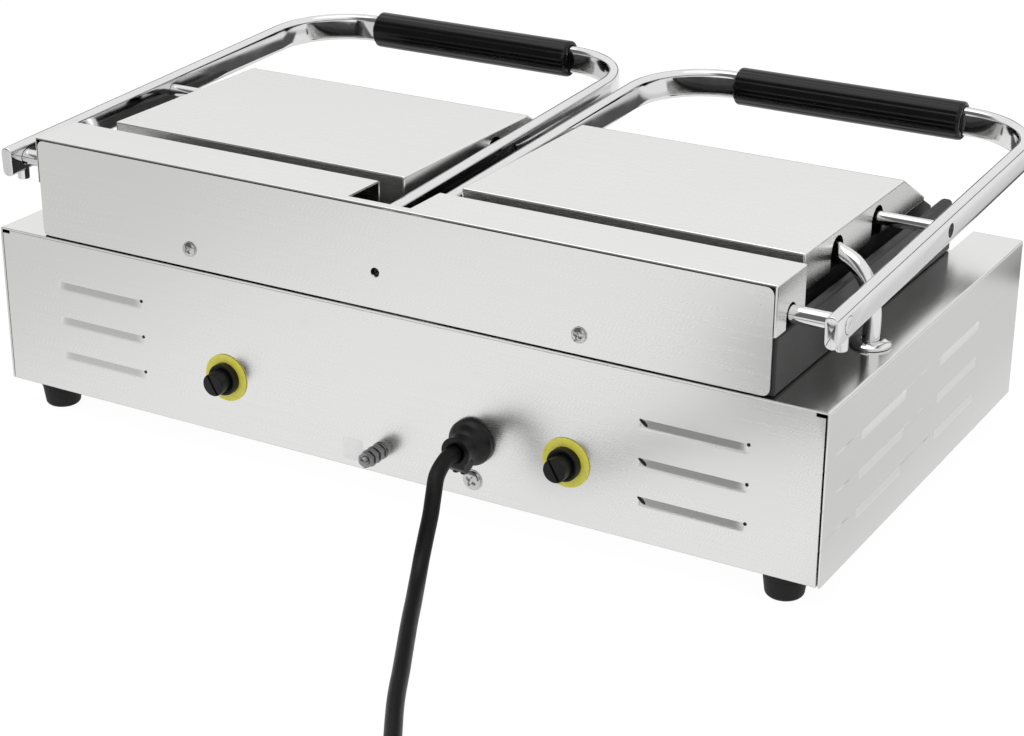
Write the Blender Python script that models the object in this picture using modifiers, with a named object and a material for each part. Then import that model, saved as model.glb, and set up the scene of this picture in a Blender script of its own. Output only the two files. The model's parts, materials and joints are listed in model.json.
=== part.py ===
"""Double contact grill: a stainless countertop cooker with a cast lower griddle and two
hinged lids, each with its own cast plate, U-shaped handle and counterbalance spring.

Lengths are in metres. Z is up, Y points to the rear and X to the left side of someone who
stands behind the machine. The operator stands at the front, so the lid called left is the
one at -X. The sizes below are measured from the centre of the base box's lower edge, and
the empty called grill_frame puts that point above the floor by the height of the feet.
"""
import math

import bmesh
import bpy
from mathutils import Matrix, Vector

# Base box
TOP_STRIP = 0.0337
BASE_DEPTH = 0.309
BASE_HEIGHT = 0.104
SHEET = 0.0012
SEAM = 0.0006
GAP = 0.0003
OVERRUN = 0.004
WING_GAP = 0.0007
RECESS_DEPTH = 0.0402
LEDGE_DROP = 0.038
CORNER_RELIEF = 0.0028
TOP_OPENING_MARGIN = 0.014

# Louvres pressed into the rear and side panels
LOUVRE_LENGTH = 0.066
LOUVRE_HEIGHT = 0.0065
LOUVRE_DEPTH = 0.0062
LOUVRE_PITCH = 0.0238
LOUVRE_MIDDLE_Z = 0.0485
LOUVRE_ROWS = 3
REAR_LOUVRE_INSET = 0.0785
SIDE_LOUVRE_REAR_INSET = 0.081
SIDE_LOUVRE_SPACING = 0.1208

# Feet
FOOT_HEIGHT = 0.018
FOOT_TOP_RADIUS = 0.0135
FOOT_TIP_RADIUS = 0.0105
FOOT_CHAMFER = 0.0015
FOOT_INSET_X = 0.027
FOOT_INSET_Y = 0.0165
FOOT_BORE = 0.0055
FOOT_FLOOR = 0.006
FOOT_STUD_RADIUS = 0.003
FOOT_STUD_RISE = 0.007
FOOT_SIDES = 14

# Lower griddle
RIM_THICKNESS = 0.006
RIM_HEIGHT = 0.0345
RIM_CORNER = 0.007
REAR_RIM_HEIGHT = 0.022
GRIDDLE_FLOOR = 0.0078
GRIDDLE_FILLET = 0.006
GRIDDLE_FRONT_BAR = 0.011
GRIDDLE_FRONT_HEIGHT = 0.005
RIB_HEIGHT = 0.004
RIB_PITCH = 0.0095
RIB_FOOT_SHARE = 0.62
RIB_CREST_SHARE = 0.30

# Hinge housing
HOUSING_DEPTH = 0.0388
HOUSING_HEIGHT = 0.0643
HOUSING_REAR_INSET = 0.0011
HOUSING_CORNER = 0.0045
NOTCH_HALF_WIDTH = 0.0213
NOTCH_REAR_STRIP = 0.0056
NOTCH_DROP = 0.043
SHAFT_SLOT_WIDTH = 0.0128
COVER_SCREW_X = 0.1343
COVER_SCREW_DROP = 0.052
COVER_SCREW_HEAD = 0.0044
COVER_HOLE_RADIUS = 0.003
COVER_HOLE_DROP = 0.0411

# Lid shafts, bearings and springs
SHAFT_RADIUS = 0.005
SHAFT_BEHIND_FRONT = 0.0194
SHAFT_ABOVE_BASE = 0.0426
SHAFT_END_PROUD = 0.0005
BEARING_THICKNESS = 0.010
BEARING_STRIP = 0.003
BEARING_WIDTH = 0.026
BEARING_TOP_RADIUS = 0.010
BEARING_INSET = 0.0073
BEARING_INNER_X = 0.034
SPRING_WIRE = 0.0015
SPRING_RADIUS = 0.0108
SPRING_PITCH = 0.0045
SPRING_TURNS = 6
SPRING_START_X = 0.070
SPRING_TURN_POINTS = 8

# Handle frames
ARM_WIDTH = 0.008
ARM_HEIGHT = 0.019
ARM_ROUND = 0.0034
HANDLE_INNER_X = 0.01025
HANDLE_OUTER_GAP = 0.02895
HANDLE_REACH = 0.3333
HANDLE_TAIL = 0.0148
HANDLE_BEND = 0.053
HANDLE_RISE = math.radians(2.5)
GRIP_LENGTH = 0.160
GRIP_RADIUS = 0.0128
GRIP_FLUTE = 0.0007
GRIP_FLUTES = 10
GRIP_FLUTE_POINTS = 4
GRIP_ROUND = 0.0014
SET_SCREW_RADIUS = 0.0039
SET_SCREW_DROP = 0.0055

# Lids
LID_INNER_X = 0.020
LID_WIDTH = 0.2192
LID_SIDE_GAP = 0.0121
LID_REAR_GAP = 0.0245
LID_TOP_DEPTH = 0.1478
LID_DEPTH = 0.1855
LID_HEIGHT = 0.024
LID_TOP_ABOVE_BASE = 0.060
LID_BEVEL_DROP = 0.021
LID_EDGE = 0.0014
ROD_RADIUS = 0.004
ROD_Y = -0.0165
ROD_BELOW_TOP = 0.011
LID_SLOT_RADIUS = 0.0088
LID_SLOT_BELOW_TOP = 0.0125
CONDUIT_SLOT_BEHIND_ROD = 0.060
PLATE_INSET = 0.0026
PLATE_FRONT_REACH = 0.0198
PLATE_REAR_REACH = 0.009
PLATE_WALL = 0.008
PLATE_FLOOR = 0.0095
PLATE_SHOULDER = 0.0022
PLATE_BROW_DEPTH = 0.024
LUG_THICKNESS = 0.008
LUG_RADIUS = 0.0085
LUG_INSET = 0.010

# Conduits to the lids
CONDUIT_RADIUS = 0.005
CONDUIT_STRIP_SHARE = 0.466
CONDUIT_Y = 0.055
CONDUIT_DEPTH = 0.040
CONDUIT_REACH = 0.012
COLLAR_RADIUS = 0.0118
COLLAR_HEIGHT = 0.0032
COLLAR_ROUND = 0.0012

# Heating elements
ELEMENT_RADIUS = 0.0032
ELEMENT_BEND = 0.016
ELEMENT_MARGIN = 0.030
ELEMENT_PASSES = 4

# Thermostats, knobs and lamps on the front
KNOB_X = 0.150
KNOB_RADIUS = 0.0225
KNOB_SKIRT = 0.005
KNOB_HEIGHT = 0.019
KNOB_BAR = 0.011
KNOB_DRAFT_SHARE = 0.90
SPINDLE_RADIUS = 0.003
SPINDLE_LENGTH = 0.014
BUSH_RADIUS = 0.0055
THERMOSTAT_WIDTH = 0.036
THERMOSTAT_HEIGHT = 0.036
THERMOSTAT_DEPTH = 0.030
LAMP_RADIUS = 0.0045
LAMP_BEZEL = 0.0065
LAMP_BEZEL_DEPTH = 0.0022
LAMP_DOME = 0.003
LAMP_BODY = 0.014
LAMP_X = 0.096

# Drip tray
TRAY_HEIGHT = 0.0175
TRAY_SIDE_GAP = 0.0014
TRAY_LIP = 0.0045
TRAY_LIP_DROP = 0.004

# Safety cut-outs with their reset caps
RESET_LEFT_SHARE = -0.449
RESET_RIGHT_SHARE = 0.386
RESET_Z = 0.0378
RESET_DISC_RADIUS = 0.0152
RESET_DISC = 0.0005
RESET_NUT_RADIUS = 0.0101
RESET_NUT = 0.0045
RESET_CAP_RADIUS = 0.0072
RESET_CAP_LENGTH = 0.0145
RESET_CAP_ROUND = 0.0008
RESET_SLOT_WIDTH = 0.0014
RESET_SLOT_DEPTH = 0.0012
RESET_TRAVEL = 0.0025
CUTOUT_WIDTH = 0.024
CUTOUT_DEPTH = 0.022

# Mains inlet and earth stud
GLAND_SHARE = -0.2316
GLAND_Z = 0.0365
GLAND_RADIUS = 0.0142
GLAND_FLANGE = 0.007
GLAND_NOSE_RADIUS = 0.0082
GLAND_LENGTH = 0.0195
GLAND_THREAD = 0.0095
GLAND_INNER_LENGTH = 0.010
CLAMP_WIDTH = 0.011
CLAMP_DEPTH = 0.011
CLAMP_DROP = 0.0085
CLAMP_SCREW_Z = 0.0115
CLAMP_SCREW_HEAD = 0.0058
SCREW_HEAD_HEIGHT = 0.0022
SCREW_SHANK_SHARE = 0.5
SCREW_LENGTH = 0.009
STUD_X = -0.002
STUD_Z = 0.0150
STUD_RADIUS = 0.003
STUD_LENGTH = 0.020
STUD_INNER_LENGTH = 0.008
STUD_NUT = 0.0055
STUD_NUT_HEIGHT = 0.0045
STUD_NUT_SPACING = 0.006
STUD_NUTS = 3
TERMINAL_LENGTH = 0.052
TERMINAL_WIDTH = 0.022
TERMINAL_HEIGHT = 0.018
TERMINAL_WAYS = 4
TERMINAL_BORE = 0.0025
TERMINAL_STANDOFF = 0.030

# Mains cord, its coil and its plug
CORD_RADIUS = 0.00475
COIL_CENTRE = (-0.1436, 0.5019)
COIL_RADIUS = 0.052
COIL_STEP = 0.0102
COIL_LAYER = 0.0102
COIL_LAYER_TURNS = 1.75
COIL_TURN_POINTS = 24
COIL_ENTRY_ANGLE = math.radians(208)
PLUG_LENGTH = 0.046
PLUG_WIDTH = 0.050
PLUG_THICKNESS = 0.021
PLUG_ROUND = 0.006
PLUG_PIN_WIDTH = 0.0063
PLUG_PIN_THICKNESS = 0.004
PLUG_PIN_LENGTH = 0.0177
PLUG_PIN_SPREAD = 0.011
PLUG_PIN_SET = 0.008
PLUG_TAIL = 0.075
PLUG_TURN = math.radians(50)
# The free cord between its straight ends, as X, Y, Z on the surface the grill stands on
CORD_ROUTE = (
    (-0.0687, 0.2164, 0.0510),
    (-0.0722, 0.2257, 0.0440),
    (-0.0741, 0.2320, 0.0347),
    (-0.0743, 0.2372, 0.0238),
    (-0.0761, 0.2448, 0.0144),
    (-0.0799, 0.2544, 0.0084),
    (-0.0849, 0.2652, 0.0056),
    (-0.0905, 0.2764, 0.0048),
    (-0.1001, 0.2954, 0.0048),
    (-0.1098, 0.3140, 0.0048),
    (-0.1237, 0.3404, 0.0048),
    (-0.1375, 0.3670, 0.0048),
    (-0.1525, 0.3928, 0.0048),
    (-0.1683, 0.4182, 0.0048),
)

# Values worked out from the sizes above
HOUSING_HALF_WIDTH = LID_INNER_X + LID_WIDTH + LID_SIDE_GAP
HALF_WIDTH = HOUSING_HALF_WIDTH + TOP_STRIP
HALF_DEPTH = BASE_DEPTH / 2
RECESS_Y = HALF_DEPTH - RECESS_DEPTH
WING_X = HOUSING_HALF_WIDTH + WING_GAP
LEDGE_Z = BASE_HEIGHT - LEDGE_DROP
CONTROL_Z = LEDGE_Z / 2
PANEL_X = HALF_WIDTH - SHEET - SEAM
PANEL_TOP = BASE_HEIGHT - SHEET - SEAM
FLOOR_Z = BASE_HEIGHT + GAP
HOUSING_REAR = HALF_DEPTH - HOUSING_REAR_INSET
HOUSING_FRONT = HOUSING_REAR - HOUSING_DEPTH
HOUSING_TOP = FLOOR_Z + HOUSING_HEIGHT
SHAFT_Y = HOUSING_FRONT + SHAFT_BEHIND_FRONT
SHAFT_Z = BASE_HEIGHT + SHAFT_ABOVE_BASE
GRIDDLE_FRONT = -RECESS_Y
GRIDDLE_REAR = HOUSING_FRONT - GAP
GRIDDLE_X = HOUSING_HALF_WIDTH
RIM_REAR = HOUSING_REAR - SHEET - SEAM
RIM_TOP = FLOOR_Z + RIM_HEIGHT
BEARING_OUTER_X = HOUSING_HALF_WIDTH - RIM_THICKNESS - BEARING_INSET
HANDLE_OUTER_X = HOUSING_HALF_WIDTH + HANDLE_OUTER_GAP
CONDUIT_X = HOUSING_HALF_WIDTH + TOP_STRIP * CONDUIT_STRIP_SHARE
VALLEY_Z = FLOOR_Z + GRIDDLE_FLOOR
CREST_Z = VALLEY_Z + RIB_HEIGHT
LID_REAR = HOUSING_FRONT - LID_REAR_GAP
LID_TOP = BASE_HEIGHT + LID_TOP_ABOVE_BASE
LID_FOOT = LID_TOP - LID_HEIGHT
LID_FRONT = LID_REAR - LID_DEPTH
LID_BREAK = LID_REAR - LID_TOP_DEPTH
ROD_Z = LID_TOP - ROD_BELOW_TOP
LID_SLOT_Z = LID_TOP - LID_SLOT_BELOW_TOP
CONDUIT_SLOT_Y = ROD_Y + CONDUIT_SLOT_BEHIND_ROD
PLATE_X = LID_INNER_X + PLATE_INSET
PLATE_WIDTH = LID_WIDTH - 2 * PLATE_INSET
PLATE_FRONT = LID_FRONT - PLATE_FRONT_REACH
PLATE_REAR = LID_REAR + PLATE_REAR_REACH
PLATE_CREST = CREST_Z + GAP
PLATE_VALLEY = PLATE_CREST + RIB_HEIGHT
PLATE_DECK = PLATE_VALLEY + PLATE_FLOOR
GRIP_REACH = HANDLE_REACH * math.cos(HANDLE_RISE) + GRIP_RADIUS
FRONT_REACH = SHAFT_Y - GRIP_REACH
REAR_REACH = HALF_DEPTH + STUD_LENGTH
FRAME_Y = -(FRONT_REACH + REAR_REACH) / 2
RESET_PLACES = {"left": RESET_LEFT_SHARE * HALF_WIDTH, "right": RESET_RIGHT_SHARE * HALF_WIDTH}
GLAND_X = GLAND_SHARE * HALF_WIDTH
SIDES = {"left": -1, "right": 1}
FLAT_ANGLE = math.radians(0.1)
MERGE = 0.00001


def clear_scene():
    for item in list(bpy.data.objects):
        bpy.data.objects.remove(item, do_unlink=True)


def new_collection(name):
    group = bpy.data.collections.new(name)
    bpy.context.scene.collection.children.link(group)
    return group


def new_material(name, colour, roughness, metallic):
    material = bpy.data.materials.new(name)
    material.use_nodes = True
    shader = material.node_tree.nodes["Principled BSDF"]
    shader.inputs["Base Color"].default_value = (*colour, 1)
    shader.inputs["Roughness"].default_value = roughness
    shader.inputs["Metallic"].default_value = metallic
    return material


clear_scene()
PARTS = new_collection("contact_grill")
CUTTERS = new_collection("cutters")
BRUSHED = ((0.72, 0.72, 0.71), 0.32, 1.0)
CHROME = ((0.80, 0.80, 0.80), 0.10, 1.0)
CAST = ((0.045, 0.044, 0.043), 0.62, 0.0)
BLACK = ((0.018, 0.018, 0.019), 0.45, 0.0)
RUBBER = ((0.022, 0.022, 0.022), 0.75, 0.0)
STEEL = ((0.45, 0.45, 0.45), 0.40, 1.0)
YELLOW = ((0.66, 0.60, 0.05), 0.50, 0.0)
BRASS = ((0.70, 0.55, 0.25), 0.30, 1.0)
ORANGE = ((0.85, 0.30, 0.04), 0.25, 0.0)
CERAMIC = ((0.75, 0.73, 0.68), 0.60, 0.0)


def new_empty(name, location, parent=None):
    empty = bpy.data.objects.new(name, None)
    empty.location = location
    empty.parent = parent
    PARTS.objects.link(empty)
    return empty


GRILL_FRAME = new_empty("grill_frame", (0, FRAME_Y, FOOT_HEIGHT))


def finish_piece(item, name, finish, axis=None):
    """Name a piece, give it its material and hang it on the grill frame or on its axis."""
    item.name = name
    item.data.name = name
    item.data.materials.clear()
    item.data.materials.append(new_material(name, *finish))
    if axis is None:
        item.parent = GRILL_FRAME
    else:
        item.parent = axis
        item.matrix_parent_inverse = Matrix.Translation(-axis.location)
    return item


def boolean(item, other, operation):
    """Cut or fill a piece with a shape that stays out of the model and moves with the piece."""
    for holder in list(other.users_collection):
        holder.objects.unlink(other)
    CUTTERS.objects.link(other)
    other.hide_render = True
    other.display_type = "WIRE"
    other.parent = item
    step = item.modifiers.new(other.name, "BOOLEAN")
    step.operation = operation
    step.solver = "EXACT"
    step.object = other


def cut(item, *others):
    for other in others:
        boolean(item, other, "DIFFERENCE")
    return item


def fuse(item, *others):
    for other in others:
        boolean(item, other, "UNION")
    return item


def mesh_object(name, mesh):
    item = bpy.data.objects.new(name, mesh)
    PARTS.objects.link(item)
    return item


def bevel(item, width, segments=1, angle=math.radians(40)):
    step = item.modifiers.new("edges", "BEVEL")
    step.width = width
    step.segments = segments
    step.limit_method = "ANGLE"
    step.angle_limit = angle
    step.use_clamp_overlap = True
    return item


def smooth(item, angle=math.radians(35)):
    item.data.shade_smooth()
    item.data.set_sharp_from_angle(angle=angle)
    return item


def box(name, low, high):
    """A box between two corners."""
    mesh = bpy.data.meshes.new(name)
    work = bmesh.new()
    size = Vector(high) - Vector(low)
    middle = (Vector(high) + Vector(low)) / 2
    place = Matrix.Translation(middle) @ Matrix.Diagonal((*size, 1))
    bmesh.ops.create_cube(work, size=1, matrix=place)
    work.to_mesh(mesh)
    work.free()
    return mesh_object(name, mesh)


def turn_to(axis):
    """The rotation that takes local Z to the named world direction."""
    return {
        "Z": Matrix.Identity(4),
        "X": Matrix.Rotation(math.pi / 2, 4, "Y"),
        "-X": Matrix.Rotation(-math.pi / 2, 4, "Y"),
        "Y": Matrix.Rotation(-math.pi / 2, 4, "X"),
        "-Z": Matrix.Rotation(math.pi, 4, "X"),
        "-Y": Matrix.Rotation(math.pi / 2, 4, "X"),
    }[axis]


def rod(name, radius, start, length, axis, sides=24):
    """A cylinder that starts at a point and runs along an axis."""
    mesh = bpy.data.meshes.new(name)
    work = bmesh.new()
    place = Matrix.Translation(Vector(start)) @ turn_to(axis) @ Matrix.Translation((0, 0, length / 2))
    bmesh.ops.create_cone(work, cap_ends=True, segments=sides, radius1=radius, radius2=radius,
                          depth=length, matrix=place)
    work.to_mesh(mesh)
    work.free()
    return smooth(mesh_object(name, mesh))


def settled(item, place):
    """Turn an evaluated object into a plain mesh with welded seams and outward faces."""
    bpy.context.view_layer.update()
    evaluated = item.evaluated_get(bpy.context.evaluated_depsgraph_get())
    mesh = bpy.data.meshes.new_from_object(evaluated)
    name = item.name
    bpy.data.objects.remove(item, do_unlink=True)
    work = bmesh.new()
    work.from_mesh(mesh)
    bmesh.ops.remove_doubles(work, verts=work.verts, dist=MERGE)
    bmesh.ops.recalc_face_normals(work, faces=work.faces)
    bmesh.ops.dissolve_limit(work, angle_limit=FLAT_ANGLE, verts=work.verts, edges=work.edges)
    work.to_mesh(mesh)
    work.free()
    mesh.transform(place)
    return mesh_object(name, mesh)


def turned(name, profile, start, axis, sides=24):
    """A closed profile of (radius, height) points turned about its height axis."""
    mesh = bpy.data.meshes.new(name)
    count = len(profile)
    edges = [(i, (i + 1) % count) for i in range(count)]
    mesh.from_pydata([(radius, 0, height) for radius, height in profile], edges, [])
    item = mesh_object(name, mesh)
    screw = item.modifiers.new("turn", "SCREW")
    screw.axis = "Z"
    screw.steps = sides
    screw.render_steps = sides
    screw.use_merge_vertices = True
    screw.merge_threshold = MERGE
    place = Matrix.Translation(Vector(start)) @ turn_to(axis)
    return smooth(settled(item, place))


def flat(name, outlines, plane, low, high):
    """A slab: the outlines lie in a plane, inner outlines are holes, low and high bound its depth."""
    curve = bpy.data.curves.new(name, "CURVE")
    curve.dimensions = "2D"
    curve.fill_mode = "BOTH"
    curve.extrude = abs(high - low) / 2
    for outline in outlines:
        spline = curve.splines.new("POLY")
        spline.points.add(len(outline) - 1)
        for point, (across, along) in zip(spline.points, outline):
            point.co = (across, along, 0, 1)
        spline.use_cyclic_u = True
    item = bpy.data.objects.new(name, curve)
    PARTS.objects.link(item)
    middle = (low + high) / 2
    cycle = Matrix(((0, 0, 1, 0), (1, 0, 0, 0), (0, 1, 0, 0), (0, 0, 0, 1)))
    place = {
        "XY": Matrix.Translation((0, 0, middle)),
        "XZ": Matrix.Translation((0, middle, 0)) @ Matrix.Rotation(math.pi / 2, 4, "X"),
        "YZ": Matrix.Translation((middle, 0, 0)) @ cycle,
    }[plane]
    return settled(item, place)


def tube(name, points, radius, resolution):
    """A round wire or pipe along a list of points."""
    curve = bpy.data.curves.new(name, "CURVE")
    curve.dimensions = "3D"
    curve.bevel_depth = radius
    curve.bevel_resolution = resolution
    curve.use_fill_caps = True
    spline = curve.splines.new("POLY")
    spline.points.add(len(points) - 1)
    for point, place in zip(spline.points, points):
        point.co = (*place, 1)
    item = bpy.data.objects.new(name, curve)
    PARTS.objects.link(item)
    return item


def group(name, items):
    """Join plain meshes into one object of separate solids."""
    work = bmesh.new()
    for item in items:
        bpy.context.view_layer.update()
        evaluated = item.evaluated_get(bpy.context.evaluated_depsgraph_get())
        work.from_mesh(evaluated.to_mesh())
        evaluated.to_mesh_clear()
    for item in items:
        bpy.data.objects.remove(item, do_unlink=True)
    mesh = bpy.data.meshes.new(name)
    work.to_mesh(mesh)
    work.free()
    return mesh_object(name, mesh)


def arc(centre, radius, start, end, steps):
    """Points along an arc, both ends included."""
    points = []
    for i in range(steps + 1):
        angle = start + (end - start) * i / steps
        points.append((centre[0] + radius * math.cos(angle), centre[1] + radius * math.sin(angle)))
    return points


def circle(centre, radius, steps=24):
    return arc(centre, radius, 0, 2 * math.pi * (steps - 1) / steps, steps - 1)


def rectangle(low, high):
    return [(low[0], low[1]), (high[0], low[1]), (high[0], high[1]), (low[0], high[1])]


def rounded(low, high, radius, steps=3):
    """A rectangle with round corners."""
    quarter = math.pi / 2
    corners = ((high[0] - radius, high[1] - radius), (low[0] + radius, high[1] - radius),
               (low[0] + radius, low[1] + radius), (high[0] - radius, low[1] + radius))
    points = []
    for turn, corner in enumerate(corners):
        points += arc(corner, radius, turn * quarter, (turn + 1) * quarter, steps)
    return points


def smooth_path(points, steps):
    """A Catmull-Rom curve through the points, with a number of steps to each span."""
    route = [Vector(point) for point in points]
    before = 2 * route[0] - route[1]
    after = 2 * route[-1] - route[-2]
    route = [before, *route, after]
    result = []
    for i in range(1, len(route) - 2):
        a, b, c, d = route[i - 1:i + 3]
        for k in range(steps):
            t = k / steps
            point = (2 * b + (c - a) * t + (2 * a - 5 * b + 4 * c - d) * t * t
                     + (3 * b - a - 3 * c + d) * t * t * t) / 2
            result.append(point)
    result.append(route[-2])
    return result


def least_gap(points, radius, apart):
    """The least clear distance between stretches of one tube that lie apart along its length."""
    least = None
    for i, here in enumerate(points):
        for there in points[i + apart:]:
            distance = (here - there).length - 2 * radius
            if least is None or distance < least:
                least = distance
    return least


def span(side, near, far):
    """The low and high X of something given by its distances from the middle plane."""
    return min(side * near, side * far), max(side * near, side * far)


def louvre_shapes(name, middle, height, plane, face, inward, length):
    """The pressed hood of one louvre and the hollow inside it.

    Across the panel's depth, face is the outer skin and inward is +1 or -1. The hood curves
    from its lower edge up to a mouth that opens upwards behind the panel.
    """
    low_z = height - LOUVRE_HEIGHT / 2
    high_z = height + LOUVRE_HEIGHT / 2
    skin = face + inward * SHEET
    quarter = math.pi / 2
    hood = [(skin - inward * SHEET / 2, high_z), (skin - inward * SHEET / 2, low_z - SHEET)]
    hood += [(skin + inward * LOUVRE_DEPTH * math.sin(a), high_z - (LOUVRE_HEIGHT + SHEET) * math.cos(a))
             for a in (0, quarter / 3, 2 * quarter / 3, quarter)]
    reach = LOUVRE_DEPTH - SHEET
    hollow = [(face - inward * OVERRUN, high_z), (face - inward * OVERRUN, low_z)]
    hollow += [(skin + inward * reach * math.sin(a), high_z - LOUVRE_HEIGHT * math.cos(a))
               for a in (0, quarter / 3, 2 * quarter / 3, quarter)]
    hollow += [(skin + inward * reach, high_z + OVERRUN), (skin + inward * GAP / 2, high_z + OVERRUN),
               (skin + inward * GAP / 2, high_z)]
    low, high = middle - length / 2, middle + length / 2
    inner_low, inner_high = low + SHEET, high - SHEET
    if plane == "YZ":
        hollow_shape = flat(name + "_hollow", [hollow], "YZ", inner_low, inner_high)
        return flat(name, [hood], "YZ", low, high), hollow_shape
    turn = Matrix(((0, 1, 0, 0), (1, 0, 0, 0), (0, 0, 1, 0), (0, 0, 0, 1)))
    pair = []
    for label, outline, start, end in (("", hood, low, high), ("_hollow", hollow, inner_low, inner_high)):
        shape = flat(name + label, [outline], "YZ", start, end)
        shape.data.transform(turn)
        shape.data.flip_normals()
        pair.append(shape)
    return pair


def add_louvres(item, name, middles, plane, face, inward):
    """Press rows of louvres into a panel at each of the given middles."""
    hoods, hollows = [], []
    for column, middle in enumerate(middles):
        for row in range(LOUVRE_ROWS):
            height = LOUVRE_MIDDLE_Z + (row - (LOUVRE_ROWS - 1) / 2) * LOUVRE_PITCH
            label = f"{name}_{column}_{row}"
            hood, hollow = louvre_shapes(label, middle, height, plane, face, inward, LOUVRE_LENGTH)
            hoods.append(hood)
            hollows.append(hollow)
    fuse(item, group(name + "_hoods", hoods))
    cut(item, group(name + "_hollows", hollows))


def make_wrapper():
    """Top and sides in one sheet, with the front recess, its ledge and the griddle opening."""
    wrapper = box("body_wrapper", (-HALF_WIDTH, -HALF_DEPTH, 0), (HALF_WIDTH, HALF_DEPTH, BASE_HEIGHT))
    recess = box("recess", (-WING_X, -HALF_DEPTH - OVERRUN, LEDGE_Z),
                 (WING_X, -RECESS_Y, BASE_HEIGHT + OVERRUN))
    inside = box("inside", (-HALF_WIDTH + SHEET, -HALF_DEPTH - OVERRUN, -OVERRUN),
                 (HALF_WIDTH - SHEET, HALF_DEPTH + OVERRUN, BASE_HEIGHT - SHEET))
    kept = box("recess_wall", (-WING_X - SHEET, -HALF_DEPTH - 2 * OVERRUN, LEDGE_Z - SHEET),
               (WING_X + SHEET, -RECESS_Y + SHEET, BASE_HEIGHT + OVERRUN))
    cut(inside, kept)
    margin = TOP_OPENING_MARGIN
    opening = box("griddle_opening",
                  (-GRIDDLE_X + margin, GRIDDLE_FRONT + margin, BASE_HEIGHT - OVERRUN),
                  (GRIDDLE_X - margin, GRIDDLE_REAR - margin, BASE_HEIGHT + OVERRUN))
    cut(wrapper, recess, inside, opening)
    for side in SIDES.values():
        place = (side * CONDUIT_X, CONDUIT_Y, BASE_HEIGHT - OVERRUN)
        hole = rod("conduit_hole", CONDUIT_RADIUS + GAP, place, 2 * OVERRUN, "Z")
        cut(wrapper, hole)
    rear_middle = HALF_DEPTH - SIDE_LOUVRE_REAR_INSET
    middles = (rear_middle, rear_middle - SIDE_LOUVRE_SPACING)
    for label, side in SIDES.items():
        add_louvres(wrapper, label + "_louvre", middles, "XZ", side * HALF_WIDTH, -side)
    finish_piece(wrapper, "body_wrapper", BRUSHED)


def make_rear_panel():
    low, high = -PANEL_X, PANEL_X
    step = CORNER_RELIEF
    outline = [(low, 0), (high, 0), (high, PANEL_TOP - step), (high - step, PANEL_TOP - step),
               (high - step, PANEL_TOP), (low + step, PANEL_TOP), (low + step, PANEL_TOP - step),
               (low, PANEL_TOP - step)]
    holes = [circle((x, RESET_Z), RESET_CAP_RADIUS + GAP) for x in RESET_PLACES.values()]
    holes += [circle((GLAND_X, GLAND_Z), GLAND_THREAD + GAP),
              circle((STUD_X, STUD_Z), STUD_RADIUS + GAP, 16),
              circle((GLAND_X, CLAMP_SCREW_Z), CLAMP_SCREW_HEAD * SCREW_SHANK_SHARE + GAP, 16)]
    panel = flat("rear_panel", [outline, *holes], "XZ", HALF_DEPTH - SHEET, HALF_DEPTH)
    middles = (-HALF_WIDTH + REAR_LOUVRE_INSET, HALF_WIDTH - REAR_LOUVRE_INSET)
    add_louvres(panel, "rear_louvre", middles, "YZ", HALF_DEPTH, -1)
    finish_piece(panel, "rear_panel", BRUSHED)


def make_front_panel():
    low, high = -PANEL_X, PANEL_X
    wing = WING_X + SHEET + SEAM
    shelf = LEDGE_Z - SHEET - SEAM
    outline = [(low, 0), (high, 0), (high, PANEL_TOP), (wing, PANEL_TOP), (wing, shelf),
               (-wing, shelf), (-wing, PANEL_TOP), (low, PANEL_TOP)]
    holes = []
    for side in SIDES.values():
        holes.append(circle((side * KNOB_X, CONTROL_Z), BUSH_RADIUS + GAP))
        holes.append(circle((side * LAMP_X, CONTROL_Z), LAMP_RADIUS + GAP, 20))
    panel = flat("front_panel", [outline, *holes], "XZ", -HALF_DEPTH, -HALF_DEPTH + SHEET)
    finish_piece(panel, "front_panel", BRUSHED)


def foot_places():
    """Each foot's name with its place under the base."""
    places = {}
    for end, sign in (("rear", 1), ("front", -1)):
        for label, side in SIDES.items():
            across = side * (HALF_WIDTH - FOOT_INSET_X)
            places[f"foot_{end}_{label}"] = (across, sign * (HALF_DEPTH - FOOT_INSET_Y))
    return places


def make_floor_and_feet():
    edge = HALF_DEPTH - SHEET - SEAM
    holes = [circle(place, FOOT_STUD_RADIUS + GAP, 16) for place in foot_places().values()]
    plate = flat("bottom_plate", [rectangle((-PANEL_X, -edge), (PANEL_X, edge)), *holes], "XY", 0, SHEET)
    finish_piece(plate, "bottom_plate", STEEL)
    profile = [(0, FOOT_STUD_RISE), (FOOT_STUD_RADIUS, FOOT_STUD_RISE), (FOOT_STUD_RADIUS, -GAP),
               (FOOT_TOP_RADIUS, -GAP),
               (FOOT_TIP_RADIUS + FOOT_CHAMFER / 2, -FOOT_HEIGHT + FOOT_CHAMFER),
               (FOOT_TIP_RADIUS - FOOT_CHAMFER / 2, -FOOT_HEIGHT), (FOOT_BORE, -FOOT_HEIGHT),
               (FOOT_BORE, -FOOT_FLOOR), (0, -FOOT_FLOOR)]
    for name, place in foot_places().items():
        finish_piece(turned(name, profile, (*place, 0), "Z", FOOT_SIDES), name, RUBBER)


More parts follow.
